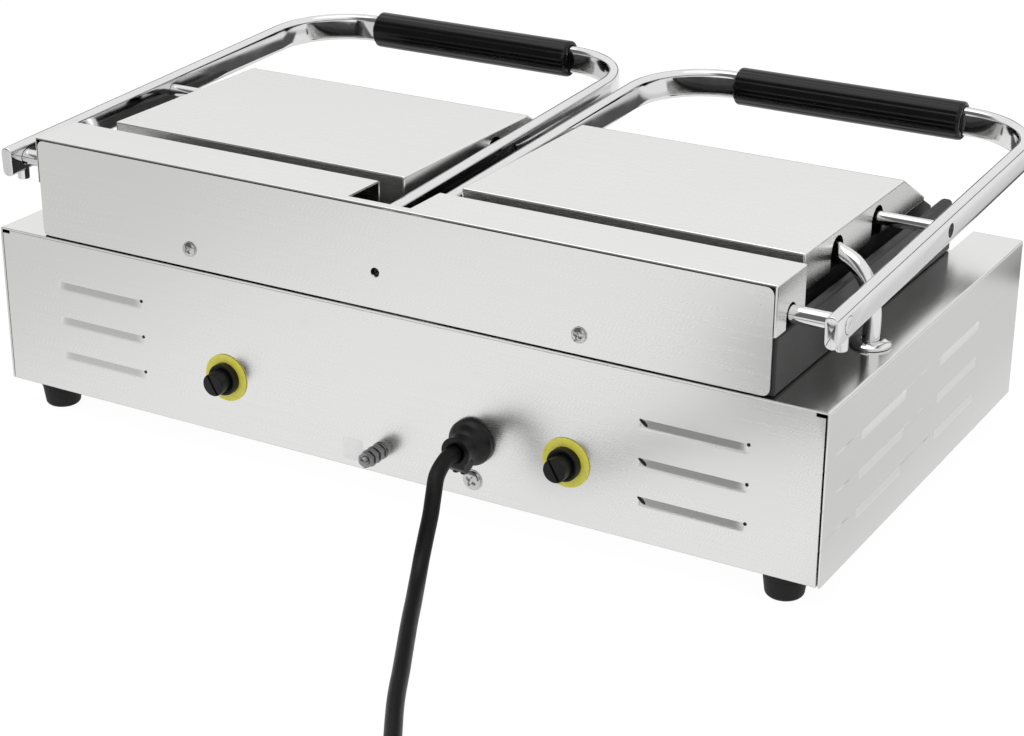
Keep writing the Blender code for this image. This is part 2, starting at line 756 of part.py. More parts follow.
def ribbed_outline(low, high, base, valley, crest, fillet=0, fillet_height=0):
    """The cross-section of a ribbed plate: flat on one side, ribs on the other.

    Ribs fill the width between the fillets at an even pitch, each a rounded trapezium.
    """
    outline = [(high, base), (low, base)]
    start, end = low, high
    if fillet:
        rise = fillet_height - valley
        quarter = math.pi / 2
        outline += [(low + fillet * math.sin(a), valley + rise * (1 - math.sin(a)) ** 2)
                    for a in (0, quarter / 3, 2 * quarter / 3)]
        start, end = low + fillet, high - fillet
    count = int((end - start) / RIB_PITCH)
    margin = ((end - start) - count * RIB_PITCH) / 2
    foot = RIB_PITCH * RIB_FOOT_SHARE / 2
    top = RIB_PITCH * RIB_CREST_SHARE / 2
    if not fillet:
        outline.append((low, valley))
    for i in range(count):
        middle = start + margin + (i + 1 / 2) * RIB_PITCH
        outline += [(middle - foot, valley), (middle - top, crest)]
        outline += [(middle + top, crest), (middle + foot, valley)]
    if fillet:
        outline += [(high - fillet * math.sin(a), valley + rise * (1 - math.sin(a)) ** 2)
                    for a in (2 * quarter / 3, quarter / 3, 0)]
    else:
        outline.append((high, valley))
    return outline


def make_griddle():
    """The cast lower griddle: the side rims run back under the housing, the rear rim stops before it."""
    lap = RIM_THICKNESS / 2
    inner = GRIDDLE_X - lap
    section = ribbed_outline(-inner, inner, FLOOR_Z + GAP, VALLEY_Z, CREST_Z,
                             lap + GRIDDLE_FILLET, VALLEY_Z + GRIDDLE_FILLET)
    bar_rear = GRIDDLE_FRONT + GRIDDLE_FRONT_BAR
    griddle = flat("griddle_plate", [section], "XZ", bar_rear - lap, GRIDDLE_REAR - lap)
    rear = GRIDDLE_REAR
    side_outline = [(RIM_REAR, FLOOR_Z), (RIM_REAR, RIM_TOP)]
    corner = (GRIDDLE_FRONT + RIM_CORNER, RIM_TOP - RIM_CORNER)
    side_outline += arc(corner, RIM_CORNER, math.pi / 2, math.pi, 4)
    side_outline.append((GRIDDLE_FRONT, FLOOR_Z))
    for label, side in SIDES.items():
        low, high = span(side, GRIDDLE_X - RIM_THICKNESS, GRIDDLE_X)
        rim = bevel(flat(label + "_rim", [side_outline], "YZ", low, high), RIM_THICKNESS / 4, 2)
        fuse(griddle, rim)
    rear_rim = box("rear_rim", (-inner, rear - RIM_THICKNESS, FLOOR_Z + 2 * GAP),
                   (inner, rear - GAP, FLOOR_Z + REAR_RIM_HEIGHT))
    front_z = FLOOR_Z + GRIDDLE_FRONT_HEIGHT
    front_bar = [(GRIDDLE_FRONT + GAP, FLOOR_Z + 2 * GAP), (bar_rear, FLOOR_Z + 2 * GAP),
                 (bar_rear, VALLEY_Z - GAP), (GRIDDLE_FRONT + GAP, front_z)]
    fuse(griddle, rear_rim, flat("front_bar", [front_bar], "YZ", -inner, inner))
    finish_piece(griddle, "griddle_plate", CAST)


def make_housing():
    """The sheet housing over the shafts, open at the rear, with the notch for the inner arms.

    Its sides end above the griddle's rims, and a slot in each lets the shaft through.
    """
    low_z = FLOOR_Z
    shell = box("hinge_housing", (-HOUSING_HALF_WIDTH, HOUSING_FRONT, low_z),
                (HOUSING_HALF_WIDTH, HOUSING_REAR, HOUSING_TOP))
    bevel(shell, SHEET, 2)
    inside = box("housing_inside", (-HOUSING_HALF_WIDTH + SHEET, HOUSING_FRONT + SHEET, low_z - OVERRUN),
                 (HOUSING_HALF_WIDTH - SHEET, HOUSING_REAR + OVERRUN, HOUSING_TOP - SHEET))
    notch = box("notch", (-NOTCH_HALF_WIDTH, HOUSING_FRONT - OVERRUN, HOUSING_TOP - NOTCH_DROP),
                (NOTCH_HALF_WIDTH, HOUSING_REAR - NOTCH_REAR_STRIP, HOUSING_TOP + OVERRUN))
    half = SHAFT_SLOT_WIDTH / 2
    slot = [(SHAFT_Y - half, low_z - OVERRUN), (SHAFT_Y + half, low_z - OVERRUN)]
    slot += arc((SHAFT_Y, SHAFT_Z), half, 0, math.pi, 8)
    reach = HOUSING_HALF_WIDTH + OVERRUN
    slots = flat("shaft_slots", [slot], "YZ", -reach, reach)
    cut(shell, inside, notch, slots)
    for side in SIDES.values():
        low, high = span(side, GRIDDLE_X - RIM_THICKNESS - GAP, reach)
        rim_space = box("rim_space", (low, HOUSING_FRONT - OVERRUN, low_z - OVERRUN),
                        (high, HOUSING_REAR + OVERRUN, RIM_TOP + GAP))
        cut(shell, rim_space)
    finish_piece(shell, "hinge_housing", BRUSHED)


def make_housing_cover():
    """The rear cover of the housing, inset in its edge, with its two screws."""
    edge = HOUSING_HALF_WIDTH - SHEET - SEAM
    low = (-edge, FLOOR_Z + SEAM)
    high = (edge, HOUSING_TOP - SHEET - SEAM)
    screw_z = HOUSING_TOP - COVER_SCREW_DROP
    shank = COVER_SCREW_HEAD * SCREW_SHANK_SHARE
    holes = [circle((0, HOUSING_TOP - COVER_HOLE_DROP), COVER_HOLE_RADIUS, 16)]
    holes += [circle((side * COVER_SCREW_X, screw_z), shank + GAP, 16) for side in SIDES.values()]
    cover = flat("housing_cover", [rounded(low, high, HOUSING_CORNER, 4), *holes], "XZ",
                 HOUSING_REAR - SHEET, HOUSING_REAR)
    finish_piece(cover, "housing_cover", BRUSHED)
    for label, side in SIDES.items():
        place = (side * COVER_SCREW_X, HOUSING_REAR, screw_z)
        panel_screw(label + "_cover_screw", COVER_SCREW_HEAD, place)
    panel_screw("clamp_screw", CLAMP_SCREW_HEAD, (GLAND_X, HALF_DEPTH, CLAMP_SCREW_Z))


def panel_screw(name, head, place):
    """A pan-head screw that points into a rear panel, its domed head outside."""
    shank = head * SCREW_SHANK_SHARE
    profile = [(0, -SCREW_LENGTH), (shank, -SCREW_LENGTH), (shank, GAP), (head, GAP),
               (head, GAP + SCREW_HEAD_HEIGHT / 2), (head * math.cos(math.pi / 4), GAP + SCREW_HEAD_HEIGHT),
               (0, GAP + SCREW_HEAD_HEIGHT)]
    finish_piece(turned(name, profile, place, "Y", 14), name, CHROME)


def hinge_axis(label, side):
    """The empty on a lid's shaft, which everything that swings with the handle hangs on."""
    return new_empty(label + "_hinge_axis", (side * HANDLE_INNER_X, SHAFT_Y, SHAFT_Z), GRILL_FRAME)


def handle_tilt():
    """The turn about the shaft that raises the front of a handle frame."""
    return (Matrix.Translation((0, SHAFT_Y, SHAFT_Z)) @ Matrix.Rotation(-HANDLE_RISE, 4, "X")
            @ Matrix.Translation((0, -SHAFT_Y, 0)))


def make_bearings():
    """A bracket under each shaft: a strip on the base with an upright bearing at either end."""
    half = BEARING_WIDTH / 2
    outline = [(SHAFT_Y - half, FLOOR_Z), (SHAFT_Y + half, FLOOR_Z)]
    outline += arc((SHAFT_Y, SHAFT_Z), BEARING_TOP_RADIUS, 0, math.pi, 8)
    bore = circle((SHAFT_Y, SHAFT_Z), SHAFT_RADIUS + GAP, 16)
    ear = BEARING_THICKNESS / 2
    for label, side in SIDES.items():
        low, high = span(side, BEARING_INNER_X - ear, BEARING_OUTER_X + ear)
        name = label + "_bearing_bracket"
        bracket = box(name, (low, SHAFT_Y - half + GAP, FLOOR_Z),
                      (high, SHAFT_Y + half - GAP, FLOOR_Z + BEARING_STRIP))
        for place in (BEARING_INNER_X, BEARING_OUTER_X):
            start = side * place - ear
            fuse(bracket, flat("bearing", [outline, bore], "YZ", start, start + BEARING_THICKNESS))
        finish_piece(bracket, name, STEEL)


def make_spring(label, side):
    """The torsion spring round one shaft: one leg stands on the base, the other meets the shaft."""
    points = []
    count = SPRING_TURNS * SPRING_TURN_POINTS
    first = -math.pi / 2
    for i in range(count + 1):
        angle = first + 2 * math.pi * i / SPRING_TURN_POINTS
        reach = SPRING_START_X + SPRING_PITCH * i / SPRING_TURN_POINTS
        points.append(Vector((side * reach, SHAFT_Y + SPRING_RADIUS * math.sin(angle),
                              SHAFT_Z + SPRING_RADIUS * math.cos(angle))))
    foot = Vector((side * SPRING_START_X, SHAFT_Y - SPRING_RADIUS, FLOOR_Z + BEARING_STRIP + SPRING_WIRE / 4))
    last = points[-1]
    inner = SHAFT_RADIUS + GAP
    hook = Vector((last.x + side * SPRING_WIRE, SHAFT_Y - inner, SHAFT_Z))
    path = [foot, *points, hook]
    clear = least_gap(points, SPRING_WIRE, SPRING_TURN_POINTS - 1)
    print(f"{label} lid spring: least gap to itself {clear * 1000:.2f} mm")
    finish_piece(tube(label + "_lid_spring", path, SPRING_WIRE, 0), label + "_lid_spring", STEEL)


def handle_outline(side):
    """The U of a handle frame seen from above, as one closed outline with round bends."""
    half = ARM_WIDTH / 2
    inner, outer = HANDLE_INNER_X, HANDLE_OUTER_X
    tail = SHAFT_Y + HANDLE_TAIL
    bar = SHAFT_Y - HANDLE_REACH
    quarter = math.pi / 2
    near = (inner + HANDLE_BEND, bar + HANDLE_BEND)
    far = (outer - HANDLE_BEND, bar + HANDLE_BEND)
    big, small = HANDLE_BEND + half, HANDLE_BEND - half
    outline = [(inner - half, tail)]
    outline += arc(near, big, 2 * quarter, 3 * quarter, 6)
    outline += arc(far, big, 3 * quarter, 4 * quarter, 6)
    outline += [(outer + half, tail), (outer - half, tail)]
    outline += arc(far, small, 4 * quarter, 3 * quarter, 6)
    outline += arc(near, small, 3 * quarter, 2 * quarter, 6)
    outline.append((inner + half, tail))
    return [(side * x, y) for x, y in outline]


def make_handle(label, side, axis):
    """Shaft, frame, grip, set screws and pivot rod of one lid."""
    frame = flat(label + "_handle_frame", [handle_outline(side)], "XY", -ARM_HEIGHT / 2, ARM_HEIGHT / 2)
    bevel(frame, ARM_ROUND, 2, math.radians(50))
    frame.data.transform(handle_tilt())
    low, high = span(side, HANDLE_INNER_X - ARM_WIDTH, HANDLE_OUTER_X + ARM_WIDTH)
    shaft_hole = rod("shaft_hole", SHAFT_RADIUS + GAP, (low, SHAFT_Y, SHAFT_Z), high - low, "X", 16)
    rod_hole = rod("rod_hole", ROD_RADIUS + GAP, (low, ROD_Y, ROD_Z), high - low, "X", 16)
    for x in (HANDLE_INNER_X, HANDLE_OUTER_X):
        screw_top = SHAFT_Z - SHAFT_RADIUS
        screw_length = ARM_HEIGHT / 2 - SHAFT_RADIUS + SET_SCREW_DROP
        screw = rod("set_screw", SET_SCREW_RADIUS, (side * x, SHAFT_Y, screw_top), screw_length, "-Z", 12)
        fuse(frame, screw)
    cut(frame, shaft_hole, rod_hole)
    finish_piece(smooth(frame), label + "_handle_frame", CHROME, axis)

    half = ARM_WIDTH / 2
    low, high = span(side, HANDLE_INNER_X - half, HANDLE_OUTER_X + half)
    shaft = rod("shaft", SHAFT_RADIUS, (low - SHAFT_END_PROUD, SHAFT_Y, SHAFT_Z),
                high - low + 2 * SHAFT_END_PROUD, "X", 16)
    finish_piece(shaft, label + "_hinge_shaft", CHROME, axis)
    pivot = rod("pivot", ROD_RADIUS, (low + OVERRUN / 2, ROD_Y, ROD_Z), high - low - OVERRUN, "X", 16)
    finish_piece(pivot, label + "_pivot_rod", CHROME, axis)

    make_grip(label, side, axis)


def make_grip(label, side, axis):
    """The sleeve on the cross bar of a handle, with broad round ribs between narrow flutes."""
    points = []
    count = GRIP_FLUTE_POINTS * GRIP_FLUTES
    for i in range(count):
        angle = 2 * math.pi * i / count
        crown = math.sin(math.pi * (i % GRIP_FLUTE_POINTS) / GRIP_FLUTE_POINTS)
        radius = GRIP_RADIUS - GRIP_FLUTE * (1 - crown)
        points.append((radius * math.cos(angle), radius * math.sin(angle)))
    half_width, half_height = ARM_WIDTH / 2 + GAP, ARM_HEIGHT / 2 + GAP
    bore = rounded((-half_width, -half_height), (half_width, half_height), ARM_ROUND, 3)
    middle = side * (HANDLE_INNER_X + HANDLE_OUTER_X) / 2
    grip = flat(label + "_grip", [points, bore], "YZ", middle - GRIP_LENGTH / 2, middle + GRIP_LENGTH / 2)
    bevel(grip, GRIP_ROUND, 1, math.radians(70))
    grip.data.transform(handle_tilt() @ Matrix.Translation((0, SHAFT_Y - HANDLE_REACH, 0)))
    finish_piece(smooth(grip), label + "_grip", BLACK, axis)


def lid_section(inset):
    """The side outline of a lid cover, drawn in by the sheet for its inside."""
    slope = math.atan2(LID_BEVEL_DROP, LID_BREAK - LID_FRONT)
    drop = inset / math.cos(slope)
    shift = inset * math.tan(slope / 2)
    reach = OVERRUN if inset else 0
    front_z = LID_TOP - LID_BEVEL_DROP - drop - reach * math.tan(slope)
    foot = LID_FOOT - reach
    return [(LID_REAR - inset, foot), (LID_REAR - inset, LID_TOP - inset),
            (LID_BREAK + shift, LID_TOP - inset), (LID_FRONT - reach, front_z), (LID_FRONT - reach, foot)]


def make_lid_cover(label, side, axis):
    """The folded sheet cover of a lid, with the slots for the pivot rod and the conduit."""
    near, far = LID_INNER_X, LID_INNER_X + LID_WIDTH
    low, high = span(side, near, far)
    cover = flat(label + "_lid_cover", [lid_section(0)], "YZ", low, high)
    bevel(cover, LID_EDGE, 2, math.radians(25))
    inner_low, inner_high = span(side, near + SHEET, far - SHEET)
    inside = flat("lid_inside", [lid_section(SHEET)], "YZ", inner_low, inner_high)

    def slot(name, middle, start, end):
        foot = LID_FOOT - OVERRUN
        outline = [(middle - LID_SLOT_RADIUS, foot), (middle + LID_SLOT_RADIUS, foot)]
        outline += arc((middle, LID_SLOT_Z), LID_SLOT_RADIUS, 0, math.pi, 8)
        return flat(name, [outline], "YZ", start, end)

    far_low, far_high = span(side, far - 2 * SHEET, far + OVERRUN)
    cut(cover, inside, slot("rod_slot", ROD_Y, low - OVERRUN, high + OVERRUN),
        slot("conduit_slot", CONDUIT_SLOT_Y, far_low, far_high))
    finish_piece(cover, label + "_lid_cover", BRUSHED, axis)


def make_lid_plate(label, side, axis):
    """The ribbed casting under a lid cover, with the two lugs that hang it on the pivot rod."""
    near, far = PLATE_X, PLATE_X + PLATE_WIDTH
    lap = PLATE_WALL / 2
    low, high = span(side, near + lap, far - lap)
    section = ribbed_outline(low, high, PLATE_DECK, PLATE_VALLEY, PLATE_CREST)
    plate = flat(label + "_lid_plate", [section], "XZ", PLATE_FRONT + lap, PLATE_REAR - lap)
    low, high = span(side, near, far)
    wall_top = LID_FOOT - 2 * GAP
    wall_foot = PLATE_VALLEY - GAP
    wall = PLATE_WALL
    outside = rectangle((low, PLATE_FRONT), (high, PLATE_REAR))
    hollow = rectangle((low + wall, PLATE_FRONT + wall), (high - wall, PLATE_REAR - wall))
    walls = flat("plate_walls", [outside, hollow], "XY", wall_foot, wall_top)
    brow_top = LID_TOP - LID_BEVEL_DROP - PLATE_SHOULDER + GAP
    brow = box("plate_brow", (low + GAP, PLATE_FRONT + GAP, PLATE_DECK - lap),
               (high - GAP, PLATE_FRONT + PLATE_BROW_DEPTH, brow_top))
    fuse(plate, walls, brow)
    slope = math.atan2(LID_BEVEL_DROP, LID_BREAK - LID_FRONT)
    reach = PLATE_FRONT_REACH + OVERRUN
    wedge = [(LID_FRONT, brow_top + GAP), (LID_FRONT - reach, brow_top + GAP - reach * math.tan(slope)),
             (LID_FRONT - reach, brow_top + OVERRUN), (LID_FRONT, brow_top + OVERRUN)]
    cut(plate, flat("brow_slope", [wedge], "YZ", low - OVERRUN, high + OVERRUN))
    for place in (near + LUG_INSET, far - LUG_INSET):
        start = side * place - LUG_THICKNESS / 2
        outline = [(ROD_Y - LUG_RADIUS, PLATE_DECK - lap), (ROD_Y + LUG_RADIUS, PLATE_DECK - lap)]
        outline += arc((ROD_Y, ROD_Z), LUG_RADIUS, 0, math.pi, 6)
        lug = flat("pivot_lug", [outline], "YZ", start, start + LUG_THICKNESS)
        fuse(plate, lug)
    bore_length = high - low + 2 * OVERRUN
    bore = rod("pivot_bore", ROD_RADIUS + GAP, (low - OVERRUN, ROD_Y, ROD_Z), bore_length, "X", 16)
    cut(plate, bore)
    finish_piece(plate, label + "_lid_plate", CAST, axis)


def element_path(low, high, front, rear, height):
    """A flat serpentine of round bends between two X limits, open at its rear ends."""
    pitch = (high - low) / (ELEMENT_PASSES - 1)
    bend = min(ELEMENT_BEND, pitch / 2)
    points = [(low, rear)]
    quarter = math.pi / 2
    for i in range(ELEMENT_PASSES):
        x = low + i * pitch
        forward = i % 2 == 0
        end = front if forward else rear
        if i < ELEMENT_PASSES - 1:
            sign = -1 if forward else 1
            middle = end - sign * bend
            points += [(x + bend - bend * math.cos(a), middle + sign * bend * math.sin(a))
                       for a in (0, quarter / 2, quarter)]
            points += [(x + pitch - bend + bend * math.sin(a), middle + sign * bend * math.cos(a))
                       for a in (0, quarter / 2, quarter)]
        else:
            points.append((x, rear))
    return [Vector((x, y, height)) for x, y in points]


def make_elements(axes):
    """Sheathed heating elements: one under each half of the griddle and one in each lid."""
    height = FLOOR_Z - ELEMENT_RADIUS
    for label, side in SIDES.items():
        low, high = span(side, PLATE_X + ELEMENT_MARGIN, PLATE_X + PLATE_WIDTH - ELEMENT_MARGIN)
        front = GRIDDLE_FRONT + ELEMENT_MARGIN
        rear = GRIDDLE_REAR - ELEMENT_MARGIN
        path = element_path(low, high, front, rear, height)
        finish_piece(tube("lower_element", path, ELEMENT_RADIUS, 1), label + "_lower_element", STEEL)
        path = element_path(low, high, PLATE_FRONT + ELEMENT_MARGIN, PLATE_REAR - ELEMENT_MARGIN,
                            PLATE_DECK + GAP + ELEMENT_RADIUS)
        upper = tube("upper_" + label, path, ELEMENT_RADIUS, 1)
        finish_piece(upper, label + "_lid_element", STEEL, axes[label])


def make_conduits():
    """The armoured leads that carry current up into the lids, and the collars they leave by."""
    for label, side in SIDES.items():
        lid_face = LID_INNER_X + LID_WIDTH
        mouth = LID_SLOT_Z
        run = CONDUIT_X - lid_face
        rise = mouth - BASE_HEIGHT
        sweep = CONDUIT_Y - CONDUIT_SLOT_Y
        shares = ((0, -CONDUIT_DEPTH / rise, 0), (0, 0, 0), (0, 0.42, 0), (0.134, 0.71, 0.134),
                  (0.5, 0.922, 0.5), (1.0, 1.0, 1.0))
        route = [(side * (CONDUIT_X - run * inward), CONDUIT_Y - sweep * forward, BASE_HEIGHT + rise * up)
                 for inward, up, forward in shares]
        route.append((side * (lid_face - CONDUIT_REACH), CONDUIT_SLOT_Y, mouth))
        lead = tube(label + "_conduit", smooth_path(route, 3), CONDUIT_RADIUS, 2)
        finish_piece(lead, label + "_conduit", CHROME)
        bore = CONDUIT_RADIUS + GAP
        profile = [(bore, 0), (COLLAR_RADIUS, 0), (COLLAR_RADIUS, COLLAR_HEIGHT - COLLAR_ROUND),
                   (COLLAR_RADIUS - COLLAR_ROUND, COLLAR_HEIGHT), (bore, COLLAR_HEIGHT)]
        collar = turned("collar", profile, (side * CONDUIT_X, CONDUIT_Y, FLOOR_Z), "Z", 20)
        finish_piece(collar, label + "_conduit_collar", CHROME)


def make_controls():
    """Thermostats behind the front panel, their knobs, and the lamps beside them."""
    panel_back = -HALF_DEPTH + SHEET
    for label, side in SIDES.items():
        middle = (side * KNOB_X, CONTROL_Z)
        half_width, half_height = THERMOSTAT_WIDTH / 2, THERMOSTAT_HEIGHT / 2
        body = box("thermostat", (middle[0] - half_width, panel_back + GAP, CONTROL_Z - half_height),
                   (middle[0] + half_width, panel_back + THERMOSTAT_DEPTH, CONTROL_Z + half_height))
        bevel(body, GAP * 4, 1)
        bush = rod("bush", BUSH_RADIUS, (middle[0], panel_back + 2 * SHEET, CONTROL_Z),
                   3 * SHEET + GAP, "-Y")
        bore = rod("spindle_bore", SPINDLE_RADIUS + GAP, (middle[0], panel_back + SPINDLE_LENGTH, CONTROL_Z),
                   SPINDLE_LENGTH + 4 * SHEET, "-Y", 16)
        fuse(body, bush)
        cut(body, bore)
        finish_piece(body, label + "_thermostat", BLACK)
        make_knob(label, middle)
        edge = LAMP_BEZEL_DEPTH
        lamp = [(0, -LAMP_BODY), (LAMP_RADIUS, -LAMP_BODY), (LAMP_RADIUS, GAP), (LAMP_BEZEL, GAP),
                (LAMP_BEZEL, edge / 2), (LAMP_BEZEL - edge / 2, edge), (LAMP_RADIUS, edge)]
        lamp += [(LAMP_RADIUS * math.cos(a), edge + LAMP_DOME * math.sin(a))
                 for a in (math.pi / 6, math.pi / 3)]
        lamp.append((0, edge + LAMP_DOME))
        lamp = turned("lamp", lamp, (side * LAMP_X, -HALF_DEPTH, CONTROL_Z), "-Y", 16)
        finish_piece(lamp, label + "_heating_lamp", ORANGE)


def make_knob(label, middle):
    """A skirted knob with a tapered pointer bar, in one piece with its spindle."""
    front = -HALF_DEPTH - 2 * SHEET
    axis = new_empty(label + "_knob_axis", (middle[0], front, middle[1]), GRILL_FRAME)
    draft = KNOB_DRAFT_SHARE
    profile = [(0, 0), (KNOB_RADIUS, 0), (KNOB_RADIUS, KNOB_SKIRT / 2), (KNOB_RADIUS * draft, KNOB_SKIRT),
               (KNOB_RADIUS * draft ** 3, KNOB_SKIRT + GAP), (0, KNOB_SKIRT + GAP)]
    knob = turned("knob", profile, (middle[0], front, middle[1]), "-Y", 24)
    half_bar = KNOB_BAR / 2
    reach = KNOB_RADIUS * draft
    bar = box("pointer_bar", (middle[0] - half_bar, front - KNOB_HEIGHT, middle[1] - reach),
              (middle[0] + half_bar, front - KNOB_SKIRT / 2, middle[1] + reach))
    bevel(bar, half_bar / 3, 2)
    fuse(knob, bar)
    spindle = rod("spindle", SPINDLE_RADIUS, (middle[0], front - KNOB_SKIRT / 2, middle[1]),
                  SPINDLE_LENGTH + KNOB_SKIRT / 2, "Y", 16)
    fuse(knob, spindle)
    finish_piece(knob, label + "_knob", BLACK, axis)


def make_tray():
    """The drip tray on the ledge in front of the griddle."""
    axis = new_empty("drip_tray_slide", (0, -HALF_DEPTH, LEDGE_Z), GRILL_FRAME)
    reach = WING_X - TRAY_SIDE_GAP
    front, rear = -HALF_DEPTH + SHEET, -RECESS_Y - TRAY_SIDE_GAP
    low_z = LEDGE_Z + GAP
    tray = box("drip_tray", (-reach, front, low_z), (reach, rear, low_z + TRAY_HEIGHT))
    inside = box("tray_inside", (-reach + SHEET, front + SHEET, low_z + SHEET),
                 (reach - SHEET, rear - SHEET, low_z + TRAY_HEIGHT + OVERRUN))
    lip = [(front - TRAY_LIP, low_z + TRAY_HEIGHT), (front - TRAY_LIP, low_z + TRAY_HEIGHT - TRAY_LIP_DROP),
           (front - TRAY_LIP + SHEET, low_z + TRAY_HEIGHT - TRAY_LIP_DROP),
           (front - TRAY_LIP + SHEET, low_z + TRAY_HEIGHT - SHEET),
           (front + SHEET / 2, low_z + TRAY_HEIGHT - SHEET), (front + SHEET / 2, low_z + TRAY_HEIGHT)]
    cut(tray, inside)
    fuse(tray, flat("tray_lip", [lip], "YZ", -reach + SHEET, reach - SHEET))
    finish_piece(tray, "drip_tray", BRUSHED, axis)


def make_cutouts():
    """Safety cut-outs inside the rear panel, their yellow discs, ring nuts and reset caps."""
    bore = RESET_CAP_RADIUS + GAP
    for label, x in RESET_PLACES.items():
        place = (x, HALF_DEPTH, RESET_Z)
        disc_top = GAP + RESET_DISC
        disc = [(bore, GAP), (RESET_DISC_RADIUS, GAP), (RESET_DISC_RADIUS, disc_top), (bore, disc_top)]
        finish_piece(turned("disc", disc, place, "Y", 20), label + "_reset_disc", YELLOW)
        base = RESET_DISC + 2 * GAP
        top = base + RESET_NUT
        nut = [(bore, base), (RESET_NUT_RADIUS, base), (RESET_NUT_RADIUS, top - RESET_CAP_ROUND),
               (RESET_NUT_RADIUS - RESET_CAP_ROUND, top), (bore, top)]
        finish_piece(turned("nut", nut, place, "Y", 20), label + "_reset_nut", BLACK)
        axis = new_empty(label + "_reset_axis", place, GRILL_FRAME)
        inner = -SHEET - RESET_TRAVEL
        cap = [(0, inner), (RESET_CAP_RADIUS, inner), (RESET_CAP_RADIUS, RESET_CAP_LENGTH - RESET_CAP_ROUND),
               (RESET_CAP_RADIUS - RESET_CAP_ROUND, RESET_CAP_LENGTH), (0, RESET_CAP_LENGTH)]
        button = turned("cap", cap, place, "Y", 20)
        face = HALF_DEPTH + RESET_CAP_LENGTH
        half_slot = RESET_SLOT_WIDTH / 2
        slot = box("cap_slot", (x - RESET_CAP_RADIUS, face - RESET_SLOT_DEPTH, RESET_Z - half_slot),
                   (x + RESET_CAP_RADIUS, face + OVERRUN, RESET_Z + half_slot))
        slot.data.transform(Matrix.Translation(place) @ Matrix.Rotation(math.radians(60), 4, "Y")
                            @ Matrix.Translation(-Vector(place)))
        cut(button, slot)
        finish_piece(button, label + "_reset_cap", BLACK, axis)
        half = CUTOUT_WIDTH / 2
        back = HALF_DEPTH - SHEET - GAP
        body = box("cutout", (x - half, back - CUTOUT_DEPTH, RESET_Z - half),
                   (x + half, back, RESET_Z + half))
        well_start = back - 2 * RESET_TRAVEL - GAP
        well = rod("cap_well", bore, (x, well_start, RESET_Z), 2 * RESET_TRAVEL + OVERRUN, "Y")
        cut(bevel(body, RESET_CAP_ROUND, 1), well)
        finish_piece(body, label + "_safety_cutout", CERAMIC)


def make_inlet():
    """Cable gland with its clamp, terminal block, earth stud and nuts."""
    bore = CORD_RADIUS + GAP
    place = (GLAND_X, HALF_DEPTH, GLAND_Z)
    dome = GLAND_RADIUS - GLAND_NOSE_RADIUS
    inner = -SHEET - GLAND_INNER_LENGTH
    profile = [(bore, inner), (GLAND_THREAD, inner), (GLAND_THREAD, GAP), (GLAND_RADIUS, GAP),
               (GLAND_RADIUS, GLAND_FLANGE / 2)]
    profile += [(GLAND_NOSE_RADIUS + dome * math.cos(a), GLAND_FLANGE / 2 + GLAND_FLANGE * math.sin(a))
                for a in (math.pi / 6, math.pi / 3, math.pi / 2)]
    profile += [(GLAND_NOSE_RADIUS, GLAND_LENGTH), (bore, GLAND_LENGTH)]
    gland = turned("gland", profile, place, "Y", 20)
    half = CLAMP_WIDTH / 2
    top = GLAND_Z - CORD_RADIUS - 2 * GAP
    rear = HALF_DEPTH + GLAND_LENGTH - GAP
    clamp = [(rear, top), (rear, top - CLAMP_DROP / 2), (rear - CLAMP_DEPTH / 3, top - CLAMP_DROP),
             (rear - CLAMP_DEPTH, top - CLAMP_DROP * 3 / 4), (rear - CLAMP_DEPTH, top)]
    fuse(gland, flat("gland_clamp", [clamp], "YZ", GLAND_X - half, GLAND_X + half))
    finish_piece(gland, "cable_gland", BLACK)

    stud_place = (STUD_X, HALF_DEPTH, STUD_Z)
    inner = -SHEET - STUD_INNER_LENGTH
    stud = [(0, inner), (STUD_RADIUS, inner), (STUD_RADIUS, STUD_LENGTH - GAP),
            (STUD_RADIUS / 2, STUD_LENGTH), (0, STUD_LENGTH)]
    stud = turned("stud", stud, stud_place, "Y", 16)
    hexagon = circle((STUD_X, STUD_Z), STUD_NUT, 6)
    starts = [HALF_DEPTH + GAP + i * STUD_NUT_SPACING for i in range(STUD_NUTS)]
    starts.append(HALF_DEPTH - SHEET - GAP - STUD_NUT_HEIGHT)
    nuts = [flat("nut", [hexagon], "XZ", start, start + STUD_NUT_HEIGHT) for start in starts]
    fuse(stud, group("nuts", nuts))
    finish_piece(stud, "earth_stud", BRASS)

    length, width = TERMINAL_LENGTH / 2, TERMINAL_WIDTH / 2
    middle = HALF_DEPTH - SHEET - TERMINAL_STANDOFF
    low_z = SHEET + GAP
    block = box("terminal", (GLAND_X - length, middle - width, low_z),
                (GLAND_X + length, middle + width, low_z + TERMINAL_HEIGHT))
    pitch = TERMINAL_LENGTH / TERMINAL_WAYS
    wells = [rod("well", TERMINAL_BORE, (GLAND_X - length + (i + 1 / 2) * pitch, middle,
                                         low_z + TERMINAL_HEIGHT / 2), TERMINAL_HEIGHT, "Z", 12)
             for i in range(TERMINAL_WAYS)]
    cut(block, group("terminal_wells", wells))
    finish_piece(block, "terminal_block", CERAMIC)


